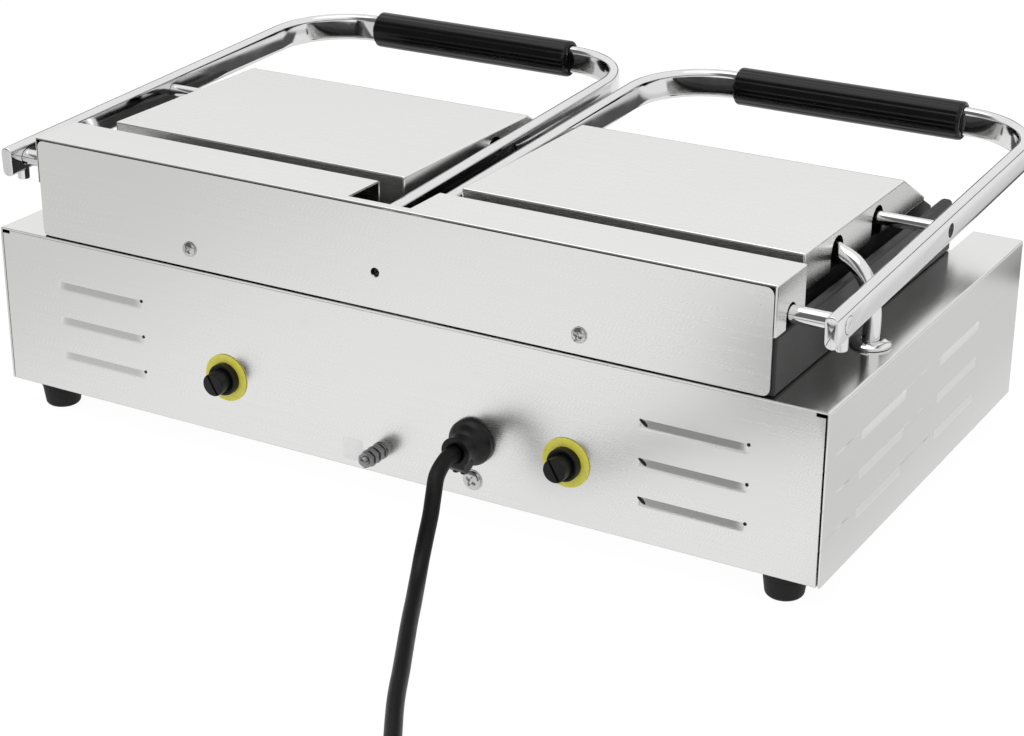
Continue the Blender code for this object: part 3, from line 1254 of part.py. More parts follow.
def coil_points(floor):
    """The coil as one path: in along the lower layer, up half a turn, and out along the upper one."""
    centre = Vector((*COIL_CENTRE, 0))
    turns = COIL_LAYER_TURNS
    outer = COIL_RADIUS + COIL_STEP * turns / 2
    inner = outer - COIL_STEP * turns
    steps = round(turns * COIL_TURN_POINTS)
    climb = COIL_TURN_POINTS // 2
    points = []
    for i in range(2 * steps + climb + 1):
        if i <= steps:
            radius = outer - COIL_STEP * i / COIL_TURN_POINTS
            height = 0
        elif i < steps + climb:
            reverse = climb / 2 - abs(i - steps - climb / 2)
            radius = inner - COIL_STEP * reverse / COIL_TURN_POINTS
            height = COIL_LAYER * (1 - math.cos(math.pi * (i - steps) / climb)) / 2
        else:
            radius = inner + COIL_STEP * (i - steps - climb) / COIL_TURN_POINTS
            height = COIL_LAYER
        angle = COIL_ENTRY_ANGLE - 2 * math.pi * i / COIL_TURN_POINTS
        points.append(centre + Vector((radius * math.cos(angle), radius * math.sin(angle), floor + height)))
    return points


def make_cord():
    """The free cord, its stored coil and the plug, laid on the surface the grill stands on."""
    floor = CORD_RADIUS
    coil = coil_points(floor)
    entry = (coil[0] - coil[1]).normalized()
    start = coil[0] + entry * 2 * CORD_RADIUS
    leave = (coil[-1] - coil[-2])
    leave.z = 0
    leave.normalize()
    away = Matrix.Rotation(PLUG_TURN, 3, "Z") @ leave
    middle = coil[-1] + leave * PLUG_TAIL / 2
    end = middle + away * PLUG_TAIL / 2
    end.z = PLUG_THICKNESS / 2
    before_plug = end - away * 2 * CORD_RADIUS
    tail = smooth_path((coil[-2], coil[-1], coil[-1] + leave * PLUG_TAIL / 3,
                        end - away * PLUG_TAIL / 3, before_plug, end), 2)[2:]
    path = [start, *coil, *tail[1:]]
    clear = least_gap(coil, CORD_RADIUS, COIL_TURN_POINTS - 2)
    print(f"mains cord coil: least gap to itself {clear * 1000:.2f} mm")
    wound = tube("mains_cord_coil", path, CORD_RADIUS, 1)
    wound.data.materials.append(new_material("mains_cord_coil", *RUBBER))

    joined = start + entry * GAP
    mouth = Vector((GLAND_X, FRAME_Y + HALF_DEPTH + GLAND_LENGTH + GAP, FOOT_HEIGHT + GLAND_Z))
    straight = 2 * CORD_RADIUS
    route = [mouth, mouth + Vector((0, straight, 0)), *[Vector(point) for point in CORD_ROUTE]]
    route += [joined + entry * COIL_RADIUS / 2, joined + entry * straight, joined]
    length = 0
    free = smooth_path(route, 2)
    for before, after in zip(free, free[1:]):
        length += (after - before).length
    for before, after in zip(path, path[1:]):
        length += (after - before).length
    print(f"mains cord: whole length {length:.3f} m")
    lead = tube("mains_cord", free, CORD_RADIUS, 2)
    lead.data.materials.append(new_material("mains_cord", *RUBBER))
    make_plug(end + away * GAP, away)


def make_plug(entry, forward):
    """A moulded three-pin plug that lies on its back with its pins up."""
    across = Vector((-forward.y, forward.x, 0))
    turn = Matrix((forward, across, (0, 0, 1))).transposed().to_4x4()
    place = Matrix.Translation((entry.x, entry.y, 0)) @ turn
    half = PLUG_WIDTH / 2
    neck = CORD_RADIUS * 2
    outline = [(0, -neck), (PLUG_LENGTH / 5, -neck)]
    outline += arc((PLUG_LENGTH / 2, -half + PLUG_ROUND), PLUG_ROUND, math.pi, 3 * math.pi / 2, 3)
    outline += arc((PLUG_LENGTH - PLUG_ROUND, -half + PLUG_ROUND), PLUG_ROUND, -math.pi / 2, 0, 3)
    outline += arc((PLUG_LENGTH - PLUG_ROUND, half - PLUG_ROUND), PLUG_ROUND, 0, math.pi / 2, 3)
    outline += arc((PLUG_LENGTH / 2, half - PLUG_ROUND), PLUG_ROUND, math.pi / 2, math.pi, 3)
    outline += [(PLUG_LENGTH / 5, neck), (0, neck)]
    body = flat("plug", [outline], "XY", 0, PLUG_THICKNESS)
    body.data.transform(place)
    bevel(body, PLUG_ROUND / 3, 2)
    body.data.materials.append(new_material("plug", *BLACK))
    base = PLUG_THICKNESS
    width, thick, long = PLUG_PIN_WIDTH / 2, PLUG_PIN_THICKNESS / 2, PLUG_PIN_LENGTH
    earth_x = PLUG_LENGTH - PLUG_PIN_SET
    live_x = PLUG_LENGTH / 2 - PLUG_PIN_SET / 2
    pins = [box("earth_pin", (earth_x - width, -thick, base / 2),
                (earth_x + width, thick, base + long * 5 / 4))]
    for sign in (-1, 1):
        middle = sign * PLUG_PIN_SPREAD
        pins.append(box("pin", (live_x - thick, middle - width, base / 2),
                        (live_x + thick, middle + width, base + long)))
    pins = group("plug_pins", pins)
    pins.data.transform(place)
    fuse(body, pins)


def main():
    make_wrapper()
    make_rear_panel()
    make_front_panel()
    make_floor_and_feet()
    make_griddle()
    make_housing()
    make_housing_cover()
    make_bearings()
    plate_axes = {}
    for label, side in SIDES.items():
        make_spring(label, side)
        axis = hinge_axis(label, side)
        make_handle(label, side, axis)
        rod_end = (side * LID_INNER_X, ROD_Y, ROD_Z)
        plate_axes[label] = new_empty(label + "_plate_axis", rod_end, GRILL_FRAME)
        make_lid_cover(label, side, plate_axes[label])
        make_lid_plate(label, side, plate_axes[label])
    make_elements(plate_axes)
    make_conduits()
    make_controls()
    make_tray()
    make_cutouts()
    make_inlet()
    make_cord()
    bpy.context.view_layer.update()


main()
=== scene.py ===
"""The looks of a double contact grill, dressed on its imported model.

The grill stands on a pale floor and is seen from behind, as in its photograph. Lengths are in
metres, and mm() and MILLI turn millimetres into them. +X is the operator's right, +Y the rear,
+Z up. Each finish is built by a short function, and each piece is a surface worked out with
numpy from a formula that its function states in words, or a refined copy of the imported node
that it stands for.
"""
import json
import math

import bmesh
import bpy
import numpy as np
from mathutils import Matrix, Vector

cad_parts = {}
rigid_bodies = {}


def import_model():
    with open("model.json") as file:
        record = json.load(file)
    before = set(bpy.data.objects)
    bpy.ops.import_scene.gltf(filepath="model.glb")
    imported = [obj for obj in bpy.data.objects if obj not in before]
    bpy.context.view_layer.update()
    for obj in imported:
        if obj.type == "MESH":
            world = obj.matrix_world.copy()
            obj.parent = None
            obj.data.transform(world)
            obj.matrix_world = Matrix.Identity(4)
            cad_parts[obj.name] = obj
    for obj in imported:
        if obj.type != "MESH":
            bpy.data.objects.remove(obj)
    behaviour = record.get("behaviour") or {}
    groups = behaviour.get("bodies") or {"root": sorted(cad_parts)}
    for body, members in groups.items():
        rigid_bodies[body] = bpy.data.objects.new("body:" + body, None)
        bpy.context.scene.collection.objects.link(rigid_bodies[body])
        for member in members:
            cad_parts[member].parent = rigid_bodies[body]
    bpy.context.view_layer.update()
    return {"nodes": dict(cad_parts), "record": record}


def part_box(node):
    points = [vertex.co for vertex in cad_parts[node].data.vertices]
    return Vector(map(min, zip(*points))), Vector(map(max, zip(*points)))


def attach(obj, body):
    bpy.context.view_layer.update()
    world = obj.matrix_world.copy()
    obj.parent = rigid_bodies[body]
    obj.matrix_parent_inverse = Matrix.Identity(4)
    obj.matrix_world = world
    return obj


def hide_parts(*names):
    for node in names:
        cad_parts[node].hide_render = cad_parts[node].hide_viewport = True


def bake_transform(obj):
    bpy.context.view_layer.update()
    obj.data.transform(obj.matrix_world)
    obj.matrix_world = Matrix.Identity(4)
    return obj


for item in list(bpy.data.objects):
    bpy.data.objects.remove(item, do_unlink=True)

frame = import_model()

NODES = frame["nodes"]
RECORD = frame["record"]
BODY_OF = {node: body for body, nodes in RECORD["behaviour"]["bodies"].items() for node in nodes}
SLOT_OF = {part["node"]: part["material_slot"] for part in RECORD["subparts"]}
SIDES = {"left": -1, "right": 1}
MILLI = 0.001
TURN = 2 * math.pi
QUARTER = math.pi / 2
COLLECTION = bpy.context.scene.collection
ACROSS, BACK, UP = np.eye(3)


def mm(*sizes):
    """Sizes or points given in millimetres."""
    return np.array(sizes) * MILLI


def chain(*parts):
    """Arrays one after another, as one."""
    return np.concatenate(parts)


def points_of(*shares):
    """Points from their shares along each axis, all spread over one grid."""
    return np.stack(np.broadcast_arrays(*shares), axis=-1)


def corners_of(node):
    """A node's low and high corners as arrays."""
    low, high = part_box(node)
    return np.array(low), np.array(high)


def middle_of(node, y=None):
    """The middle of a node's box, moved to a depth if one is given."""
    low, high = corners_of(node)
    middle = (low + high) / 2
    if y is not None:
        middle[1] = y
    return middle


# The base box, read from the frame
WRAP_LOW, WRAP_HIGH = corners_of("body_wrapper")
HALF_WIDTH, REAR, TOP = WRAP_HIGH
FRONT, FLOOR = WRAP_LOW[1:]
MIDDLE_Y = (REAR + FRONT) / 2

# Sheets. The rows of a surface stand a guard beside its edges, which keeps their shading narrow
SHEET = 1.2 * MILLI
GUARD = 0.35 * MILLI
GAP = 0.3 * MILLI
FOLD = 1.6 * MILLI
RECESS = FRONT + 40.2 * MILLI
WING_X = HALF_WIDTH - 33 * MILLI
LEDGE = TOP - 38 * MILLI
OPENING_X = 237.3 * MILLI
OPENING_Y = MIDDLE_Y + mm(-100.3, 100.2)
OPENING_BREAK = 120 * MILLI
NOTCH_WIDTH = 5.6 * MILLI
NOTCH_DROP = 2.2 * MILLI
SEAMS_SHOWN = mm(0.5, 0.05)
SEAM_COVERED = 0.45 * MILLI

# Louvres
LOUVRE_LENGTH = 66 * MILLI
LOUVRE_HEIGHT = 6.5 * MILLI
LOUVRE_END = 7 * MILLI
LOUVRE_EASE = 0.3
LOUVRE_SHARES = np.array((0, 0.06, 0.12, 0.18, 0.24, 0.3, 0.45, 0.65, 0.85, 1))
LOUVRE_HEIGHTS = FLOOR + mm(24.7, 48.5, 72.3)
SIDE_LOUVRES = MIDDLE_Y + mm(-47.3, 73.5)
SIDE_LOUVRE_REACH = 0.95 * MILLI
REAR_LOUVRES = mm(-206.5, 206.5)
REAR_LOUVRE_REACHES = mm(1.55, 1.18)

# Hinge line, handles and grips
SHAFT_Y, SHAFT_Z = middle_of("left_hinge_shaft")[1:]
ROD_Y, ROD_Z = middle_of("left_pivot_rod")[1:]
ARM_HALF_WIDTH = 4 * MILLI
ARM_HALF_HEIGHT = 9.5 * MILLI
ARM_ROUND = 1.2 * 3.4 * MILLI
ARM_EDGE = 0.9 * MILLI
ARM_EDGE_STEPS = 5
HANDLE_INNER = 10.25 * MILLI
HANDLE_OUTER = 280.25 * MILLI
HANDLE_REACH = 333.3 * MILLI
HANDLE_TAIL = 14.8 * MILLI
HANDLE_BEND = 53 * MILLI
HANDLE_BREAKS = (0.03, 0.16)
HANDLE_RISE = math.radians(2.5)
ALONG = np.array((0, -math.cos(HANDLE_RISE), math.sin(HANDLE_RISE)))
ABOVE = np.array((0, math.sin(HANDLE_RISE), math.cos(HANDLE_RISE)))
ARM_HOLES = ((SHAFT_Y, SHAFT_Z, 5.3), (ROD_Y, ROD_Z, 4.3))
ARM_HOLE_LENGTH = 16
GRIP_LENGTH = 160 * MILLI
GRIP_RADIUS = 12.8 * MILLI
GRIP_FLUTES = 10
GRIP_FLUTE = 0.35 * MILLI
GRIP_FLUTE_SHARPNESS = 1.6
GRIP_FLUTE_STEPS = 14
GRIP_ROUND = 2.4 * MILLI
GRIP_BORE_ROUND = 1.1 * MILLI
GRIP_BORE_FLARE = 0.7 * MILLI
GRIP_BORE_LIP = 0.6 * MILLI

# Camera, solved on the photograph's straight edges
PHOTO_WIDTH = 1024
CAMERA_AZIMUTH = math.radians(210.085)
CAMERA_ELEVATION = math.radians(23.093)
CAMERA_ROLL = math.radians(0.229)
CAMERA_FOCAL_PIXELS = 2306
CAMERA_OFFSET = mm(2.43, 10.43, 1502.05)
CAMERA_AIM = (0, MIDDLE_Y, FLOOR)
SENSOR = 36


def linked(name, data):
    """A new object in the scene."""
    item = bpy.data.objects.new(name, data)
    COLLECTION.objects.link(item)
    return item


def set_camera():
    """The camera looks at the base's foot from a distance, turned by azimuth, elevation and roll."""
    camera = bpy.data.cameras.new("photo_camera")
    camera.sensor_width = SENSOR
    camera.lens = CAMERA_FOCAL_PIXELS * SENSOR / PHOTO_WIDTH
    camera.clip_end = 100
    holder = linked("photo_camera", camera)
    turn = Matrix.Rotation(CAMERA_AZIMUTH, 4, "Z") @ Matrix.Rotation(QUARTER - CAMERA_ELEVATION, 4, "X")
    turn = turn @ Matrix.Rotation(CAMERA_ROLL, 4, "Z")
    holder.matrix_world = Matrix.Translation(CAMERA_AIM) @ turn @ Matrix.Translation(CAMERA_OFFSET)
    bpy.context.scene.camera = holder


class Value:
    """A number or colour that leaves a node, which adds Math nodes when it is reckoned with."""

    def __init__(self, board, socket):
        self.board = board
        self.socket = socket

    def __add__(self, other):
        return self.board.reckon("ADD", self, other)

    def __sub__(self, other):
        return self.board.reckon("SUBTRACT", self, other)

    def __rsub__(self, other):
        return self.board.reckon("SUBTRACT", other, self)

    def __mul__(self, other):
        return self.board.reckon("MULTIPLY", self, other)

    __radd__ = __add__
    __rmul__ = __mul__


class Board:
    """The nodes of one material or of the world."""

    def __init__(self, tree):
        self.tree = tree

    def feed(self, socket, value):
        if isinstance(value, Value):
            self.tree.links.new(value.socket, socket)
        else:
            socket.default_value = value

    def node(self, kind, settings=None, sockets=None, output=0):
        """Add a node: its settings first, then its sockets, and give back one of its outputs."""
        node = self.tree.nodes.new(kind)
        for name, value in (settings or {}).items():
            setattr(node, name, value)
        for name, value in (sockets or {}).items():
            self.feed(node.inputs[name], value)
        return Value(self, node.outputs[output]) if len(node.outputs) else None

    def reckon(self, operation, first, second, **settings):
        return self.node("ShaderNodeMath", {"operation": operation, **settings}, {0: first, 1: second})

    def ray(self, kind):
        """1 for one kind of ray and 0 for the others."""
        return self.node("ShaderNodeLightPath", output=f"Is {kind} Ray")

    def axis(self, place, axis):
        """A place's share along one axis."""
        return self.node("ShaderNodeSeparateXYZ", sockets={0: place}, output=axis)

    def noise(self, scale, detail=3.0, rough=0.5):
        """Noise on the object's own coordinates, stretched by one scale or a scale for each axis."""
        place = self.node("ShaderNodeTexCoord", output="Object")
        place = self.node("ShaderNodeMapping",
                          sockets={"Vector": place, "Scale": np.broadcast_to(scale, 3).tolist()})
        return self.node("ShaderNodeTexNoise",
                         sockets={"Vector": place, "Scale": 1.0, "Detail": detail, "Roughness": rough})

    def blend(self, factor, first, second):
        """A colour between two, by a factor."""
        return self.node("ShaderNodeMix", {"data_type": "RGBA"},
                         {0: factor, 6: (*first, 1), 7: (*second, 1)}, 2)

    def step(self, value, low, high):
        """0 below a low value, 1 above a high one, and smooth between them."""
        return self.node("ShaderNodeMapRange", {"interpolation_type": "SMOOTHSTEP"},
                         {0: value, 1: low, 2: high})

    def band(self, value, rise, fall):
        """1 between a rise and a fall, and 0 outside them."""
        return self.step(value, *rise) - self.step(value, *fall)


class Finish(Board):
    """A material's board. Its even values sit on the shader itself."""

    def __init__(self, name, metallic=0.0, **constants):
        self.material = bpy.data.materials.new(name)
        self.material.use_nodes = True
        super().__init__(self.material.node_tree)
        self.shader = self.tree.nodes["Principled BSDF"]
        for socket, value in {"Metallic": metallic, **constants}.items():
            self.shader.inputs[socket.replace("_", " ")].default_value = value

    def made(self, colour, rough, bump=None):
        """Feed the shader, with a bump of height, strength and distance, and give the material."""
        self.feed(self.shader.inputs["Base Color"], colour)
        self.feed(self.shader.inputs["Roughness"], rough)
        if bump:
            bump = self.node("ShaderNodeBump", sockets=dict(zip(("Height", "Strength", "Distance"), bump)))
            self.feed(self.shader.inputs["Normal"], bump)
        return self.material


def grey(level):
    return (level, level, level)


def brushed_steel(name, grain_axis, level=0.80, rough=0.27, streak=0.018):
    """Stainless sheet: fine streaks along one axis, slow clouds, a few faint rubbed marks."""
    steel = Finish(name, metallic=1.0)
    fine = [900.0, 900.0, 900.0]
    fine["XYZ".index(grain_axis)] = 7.0
    streaks = steel.noise(fine, detail=4.0, rough=0.6)
    clouds = steel.noise(9.0, detail=2.0)
    marks = steel.step(steel.noise((38.0, 31.0, 44.0), detail=5.0, rough=0.7), 0.62, 0.78)
    tone = steel.step(streaks * 0.6 + clouds * 0.4, 0.3, 0.7)
    warm = level * np.array((1, 0.998, 0.988))
    return steel.made(steel.blend(tone, warm * (1 - streak), np.minimum(1, warm * (1 + streak))),
                      streaks * 0.06 + clouds * 0.05 + marks * 0.04 + (rough - 0.055),
                      bump=(streaks, 0.009, 0.0002))


def polished_steel(name):
    """Bright bar and tube: almost a mirror, with soft smudges and a hint of drawing lines."""
    steel = Finish(name, metallic=1.0)
    smudges = steel.noise(42.0, detail=4.0, rough=0.65)
    lines = steel.noise((700.0, 60.0, 700.0), detail=2.0)
    return steel.made(steel.blend(smudges, grey(0.70), grey(0.79)),
                      steel.step(smudges, 0.35, 0.8) * 0.10 + lines * 0.03 + 0.045)


def cast_iron(name):
    """Dark cast plate: a fine sandy skin under slow tonal blotches."""
    iron = Finish(name, Specular_IOR_Level=0.35)
    skin = iron.noise(950.0, detail=4.0, rough=0.65)
    pits = iron.noise(330.0, detail=3.0)
    blotches = iron.noise(26.0, detail=4.0, rough=0.6)
    tone = iron.step(blotches * 0.7 + skin * 0.3, 0.35, 0.68)
    return iron.made(iron.blend(tone, (0.016, 0.016, 0.017), (0.038, 0.037, 0.036)),
                     tone * 0.14 + skin * 0.12 + 0.34, bump=(skin * 0.6 + pits * 0.4, 0.35, 0.0004))


def moulding(name, level, rough, bump=0.12, scale=1200.0, sheen=0.2):
    """Black moulded plastic or rubber: a fine eroded skin and faint handling marks."""
    plastic = Finish(name, Specular_IOR_Level=sheen)
    skin = plastic.noise(scale, detail=3.0, rough=0.6)
    marks = plastic.noise((55.0, 70.0, 60.0), detail=4.0, rough=0.7)
    return plastic.made(plastic.blend(marks, grey(level * 0.75), grey(level * 1.35)),
                        plastic.step(marks, 0.3, 0.75) * 0.12 + skin * 0.06 + (rough - 0.09),
                        bump=(skin, bump, 0.0002))


def spotted(name, noise, first, second, spread, rough, worn=None, skin=None, bump=None, **constants):
    """One noise, of a scale, a detail and a roughness, moves the colour and the roughness.

    Where the finish is worn, the noise is first sharpened by a step from a low to a high value.
    The bump, of a strength and a distance, follows the same noise, or the skin's.
    """
    finish = Finish(name, **constants)
    spots = finish.noise(*noise)
    if worn:
        spots = finish.step(spots, *worn)
    height = finish.noise(*skin) if skin else spots
    return finish.made(finish.blend(spots, first, second), spots * spread + rough,
                       bump and (height, *bump))


def plain_steel(name, level, rough):
    """Mill-finish or plated steel: blotches of tone and roughness, no grain."""
    return spotted(name, (120.0, 4.0, 0.6), grey(level * 0.86), grey(level * 1.08), 0.16, rough - 0.08,
                   skin=(1400.0, 2.0), bump=(0.08, 0.0002), metallic=1.0)


# A finish for each slot, and four for pieces that don't have their slot's finish
FINISHES = {
    "brushed_sheet": brushed_steel("steel_grain_across", "X"),
    "wrapper_sheet": brushed_steel("steel_grain_along", "Y", level=0.75, rough=0.155),
    # A lighter copy of the sheet steel: painted highlight on the side louvres' sloping faces
    "louvre_highlight_paint": brushed_steel("steel_painted_highlight", "Y", level=0.84, rough=0.20),
    "plain_sheet": plain_steel("mill_sheet", 0.50, 0.38),
    "bright_rod": polished_steel("bright_steel"),
    "cast_plate": cast_iron("cast_plate"),
    "grip_plastic": moulding("grip_moulding", 0.004, 0.20, bump=0.03, sheen=0.26),
    "black_plastic": moulding("black_moulding", 0.006, 0.34, sheen=0.24),
    "foot_rubber": moulding("foot_rubber", 0.016, 0.60, bump=0.3, scale=800.0),
    "cord_rubber": moulding("cord_sheath", 0.006, 0.42, bump=0.1, sheen=0.16),
    "yellow_disc": spotted("yellow_ring", (260.0, 4.0, 0.7), (0.80, 0.75, 0.09), (0.62, 0.58, 0.13),
                           0.2, 0.36, worn=(0.52, 0.75), Coat_Weight=0.15, Coat_Roughness=0.25),
    "ceramic_body": spotted("pale_ceramic", (500.0, 4.0, 0.65), (0.70, 0.68, 0.62), (0.80, 0.78, 0.73),
                            0.2, 0.45, bump=(0.15, 0.0003)),
    "lamp_lens": spotted("orange_lens", (420.0, 2.0, 0.5), (0.62, 0.14, 0.012), (0.90, 0.34, 0.05),
                         0.1, 0.12, Coat_Weight=1.0, Coat_Roughness=0.04),
    "stud_metal": plain_steel("stud_plating", 0.26, 0.26),
    "screw_steel": plain_steel("screw_plating", 0.58, 0.16),
    "spring_steel": plain_steel("spring_wire", 0.36, 0.34),
    "element_sheath": plain_steel("element_tube", 0.26, 0.42),
    "white_film": spotted("white_film", (180.0, 4.0, 0.7), grey(0.912), grey(0.9984), 0.15, 0.35),
    # Dark print, and also the painted shade of the screws in the rod's end holes
    "black_print_and_shade": moulding("black_print_and_shade", 0.030, 0.45),
}

# Studio: where mirrors see the floor fade and clear, the painted shadow of the grill on it, and the room
RAYS = ("Camera", "Glossy", "Transmission")
WHITE = (1, 1, 1, 1)
FLOOR_HALF = 7.0
FLOOR_MATT = (0.88, 0.88, 0.88, 1)
FLOOR_SEEN = 1.06
FLOOR_GLOW = 0.90
FLOOR_FADE = 0.26
FLOOR_FADES_RIGHT = (0.16, 0.50)
FLOOR_FADES_LEFT = (-0.34, -0.24)
FLOOR_CLEARS_LEFT = (-0.50, -0.42)
# Painted shadow: a dark patch on the floor in front of the grill, seen only in mirrors, stands for the
# grill's shade there
SHADOW_PATCH_LEFT = (-0.42, -0.34)
SHADOW_PATCH_RIGHT = (0.42, 0.52)
SHADOW_PATCH_FAR = (-0.72, -0.62)
SHADOW_PATCH_NEAR = (-0.40, -0.36)
SHADOW_PATCH_DARK = 0.98
ROOM_LIGHT = 0.80
ROOM_DARK = 0.16
ROOM_THROUGH = 0.2
SKIRTING_STARTS = (0.02, 0.05)
SKIRTING_ENDS = (0.14, 0.20)
DARK_SIDE = (0.46, 0.80, 0.39)
DARK_REACH = (0.70, 0.92)
LAMP_PLACE = Vector((0.3, 0.2, 2.2))
LAMP_AIM = Vector((0, 0, 0.1))
LAMP_SIZE = 2.0
LAMP_POWER = 9


def cleared(owner):
    """The empty board of a material or of the world."""
    owner.use_nodes = True
    owner.node_tree.nodes.clear()
    return Board(owner.node_tree)


def set_stage():
    """A pale floor that shows white to the camera and keeps the grill's shadow.

    Mirrors see it fade towards the right and in a strip at the left, and see a painted shadow,
    a dark patch on it in front of the grill that stands for the grill's shade there.
    """
    corners = FLOOR_HALF * np.array(((-1, -1, 0), (1, -1, 0), (1, 1, 0), (-1, 1, 0)))
    mesh = mesh_of(corners, np.arange(4)[None])
    floor = linked("studio_floor", mesh)
    material = bpy.data.materials.new("studio_floor")
    board = cleared(material)
    camera, glossy, through = (board.ray(kind) for kind in RAYS)
    matt = board.node("ShaderNodeBsdfDiffuse", sockets={"Color": FLOOR_MATT})
    place = board.node("ShaderNodeTexCoord", output="Object")
    x, y = board.axis(place, "X"), board.axis(place, "Y")
    dim = board.step(x, *FLOOR_FADES_RIGHT) + board.band(x, FLOOR_CLEARS_LEFT, FLOOR_FADES_LEFT)
    # Painted shadow of the grill, which darkens the floor in front of it for mirrors only
    shadow_patch = board.band(x, SHADOW_PATCH_LEFT, SHADOW_PATCH_RIGHT) * board.band(y, SHADOW_PATCH_FAR, SHADOW_PATCH_NEAR)
    glow = camera * FLOOR_SEEN + through + glossy * (1 - dim * FLOOR_FADE) * (1 - shadow_patch * SHADOW_PATCH_DARK)
    white = board.node("ShaderNodeEmission", sockets={"Color": WHITE, "Strength": glow})
    seen = board.reckon("ADD", camera + glossy, through, use_clamp=True)
    surface = board.node("ShaderNodeMixShader", sockets={0: seen * FLOOR_GLOW, 1: matt, 2: white})
    board.node("ShaderNodeOutputMaterial", sockets={"Surface": surface})
    mesh.materials.append(material)


def set_room():
    """A white room with a dark end behind the camera and a dark skirting, which only mirrors see."""
    world = bpy.data.worlds.new("studio_room")
    bpy.context.scene.world = world
    board = cleared(world)
    camera, glossy, through = (board.ray(kind) for kind in RAYS)
    heading = board.node("ShaderNodeTexCoord", output="Generated")
    facing = board.node("ShaderNodeVectorMath", {"operation": "DOT_PRODUCT"},
                        {0: heading, 1: DARK_SIDE}, "Value")
    skirting = board.band(board.axis(heading, "Z"), SKIRTING_STARTS, SKIRTING_ENDS)
    dark = board.reckon("MAXIMUM", board.step(facing, *DARK_REACH), skirting)
    mirrored = 1 - dark * (1 - ROOM_DARK)
    level = camera + (1 - camera) * (glossy * mirrored + (1 - glossy) * ROOM_LIGHT)
    level = level + through * ROOM_THROUGH
    shine = board.node("ShaderNodeBackground", sockets={"Color": WHITE, "Strength": level})
    board.node("ShaderNodeOutputWorld", sockets={"Surface": shine})


def set_lamp():
    """A large soft area lamp that looks from its place to its aim."""
    lamp = bpy.data.lights.new("overhead_softbox", "AREA")
    lamp.shape = "DISK"
    lamp.size = LAMP_SIZE
    lamp.energy = LAMP_POWER
    holder = linked("overhead_softbox", lamp)
    holder.location = LAMP_PLACE
    holder.rotation_euler = (LAMP_PLACE - LAMP_AIM).to_track_quat("Z", "Y").to_euler()


def mesh_of(points, faces):
    mesh = bpy.data.meshes.new("surface")
    mesh.from_pydata(points.reshape(-1, 3).tolist(), [], faces.tolist())
    return mesh


def grid(points, wrap=False, keep=None):
    """A mesh on a grid: points[i, j] joins its neighbours, and wrap joins the last column to the first.

    keep says which of the grid's cells are made.
    """
    rows, columns = points.shape[:2]
    index = np.arange(rows * columns).reshape(rows, columns)
    if wrap:
        index = np.hstack([index, index[:, :1]])
    faces = np.stack([index[:-1, :-1], index[:-1, 1:], index[1:, 1:], index[1:, :-1]], axis=-1)
    return mesh_of(points, faces.reshape(-1, 4) if keep is None else faces[keep])


def shaded(mesh, angle=35):
    """Smooth shading, broken along edges that are sharper than an angle."""
    mesh.shade_smooth()
    mesh.set_sharp_from_angle(angle=math.radians(angle))
    return mesh


def tidy(mesh, angle=35, merge=1e-6, outward=True):
    """Close seams and poles, point the faces out and shade it smooth between its sharp edges."""
    work = bmesh.new()
    work.from_mesh(mesh)
    bmesh.ops.remove_doubles(work, verts=work.verts, dist=merge)
    bmesh.ops.dissolve_degenerate(work, edges=work.edges, dist=merge)
    if outward:
        bmesh.ops.recalc_face_normals(work, faces=work.faces)
    work.to_mesh(mesh)
    work.free()
    return shaded(mesh, angle)


def joined(meshes):
    """Several meshes as one."""
    work = bmesh.new()
    for mesh in meshes:
        work.from_mesh(mesh)
        bpy.data.meshes.remove(mesh)
    result = bpy.data.meshes.new("joined")
    work.to_mesh(result)
    work.free()
    return result


def block(middle, half, turn=Matrix()):
    """A box about a middle with its half sizes, turned by a matrix."""
    mesh = bpy.data.meshes.new("block")
    work = bmesh.new()
    matrix = Matrix.Translation(middle) @ turn @ Matrix.Diagonal((*half, 1))
    bmesh.ops.create_cube(work, size=2, matrix=matrix)
    work.to_mesh(mesh)
    work.free()
    return mesh


def final_mesh(item):
    """An object's mesh with its modifiers applied."""
    bpy.context.view_layer.update()
    return bpy.data.meshes.new_from_object(item.evaluated_get(bpy.context.evaluated_depsgraph_get()))


def modified(item, kind, **settings):
    """Add a modifier with its settings to an object."""
    step = item.modifiers.new(kind.lower(), kind)
    for name, value in settings.items():
        setattr(step, name, value)
    return item


def carved(mesh, cutters):
    """A mesh with others cut from it."""
    item = linked("carved", mesh)
    tools = [linked("carving_tool", cutter) for cutter in cutters]
    for tool in tools:
        modified(item, "BOOLEAN", operation="DIFFERENCE", solver="EXACT", object=tool)
    result = final_mesh(item)
    for used in (item, *tools):
        bpy.data.objects.remove(used, do_unlink=True)
    return shaded(result)


def add(name, mesh, *nodes, like=None, finish=None):
    """Put a piece in the scene: it rides on the body of its node, which it replaces.

    Its finish is its slot's, unless another one is named.
    """
    source = like or nodes[0]
    mesh.name = name
    mesh.materials.clear()
    mesh.materials.append(FINISHES[finish or SLOT_OF[source]])
    item = linked(name, mesh)
    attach(item, BODY_OF[source])
    if nodes:
        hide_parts(*nodes)
    return item


def rounded_edges(item, width, angle=35):
    """A Bevel on the sharp edges, with normals that keep the flats flat."""
    return modified(item, "BEVEL", width=width, segments=2, limit_method="ANGLE",
                    angle_limit=math.radians(angle), use_clamp_overlap=True, harden_normals=True)


def flat_normals(item):
    """Let the large faces set the normals, so that flats look flat beside their round edges."""
    return modified(item, "WEIGHTED_NORMAL", keep_sharp=True, weight=50)


def thickened(item):
    """Give a sheet its wall, inwards, and its flat normals."""
    modified(item, "SOLIDIFY", thickness=SHEET, offset=-1, use_even_offset=True, use_rim=True)
    return flat_normals(item)


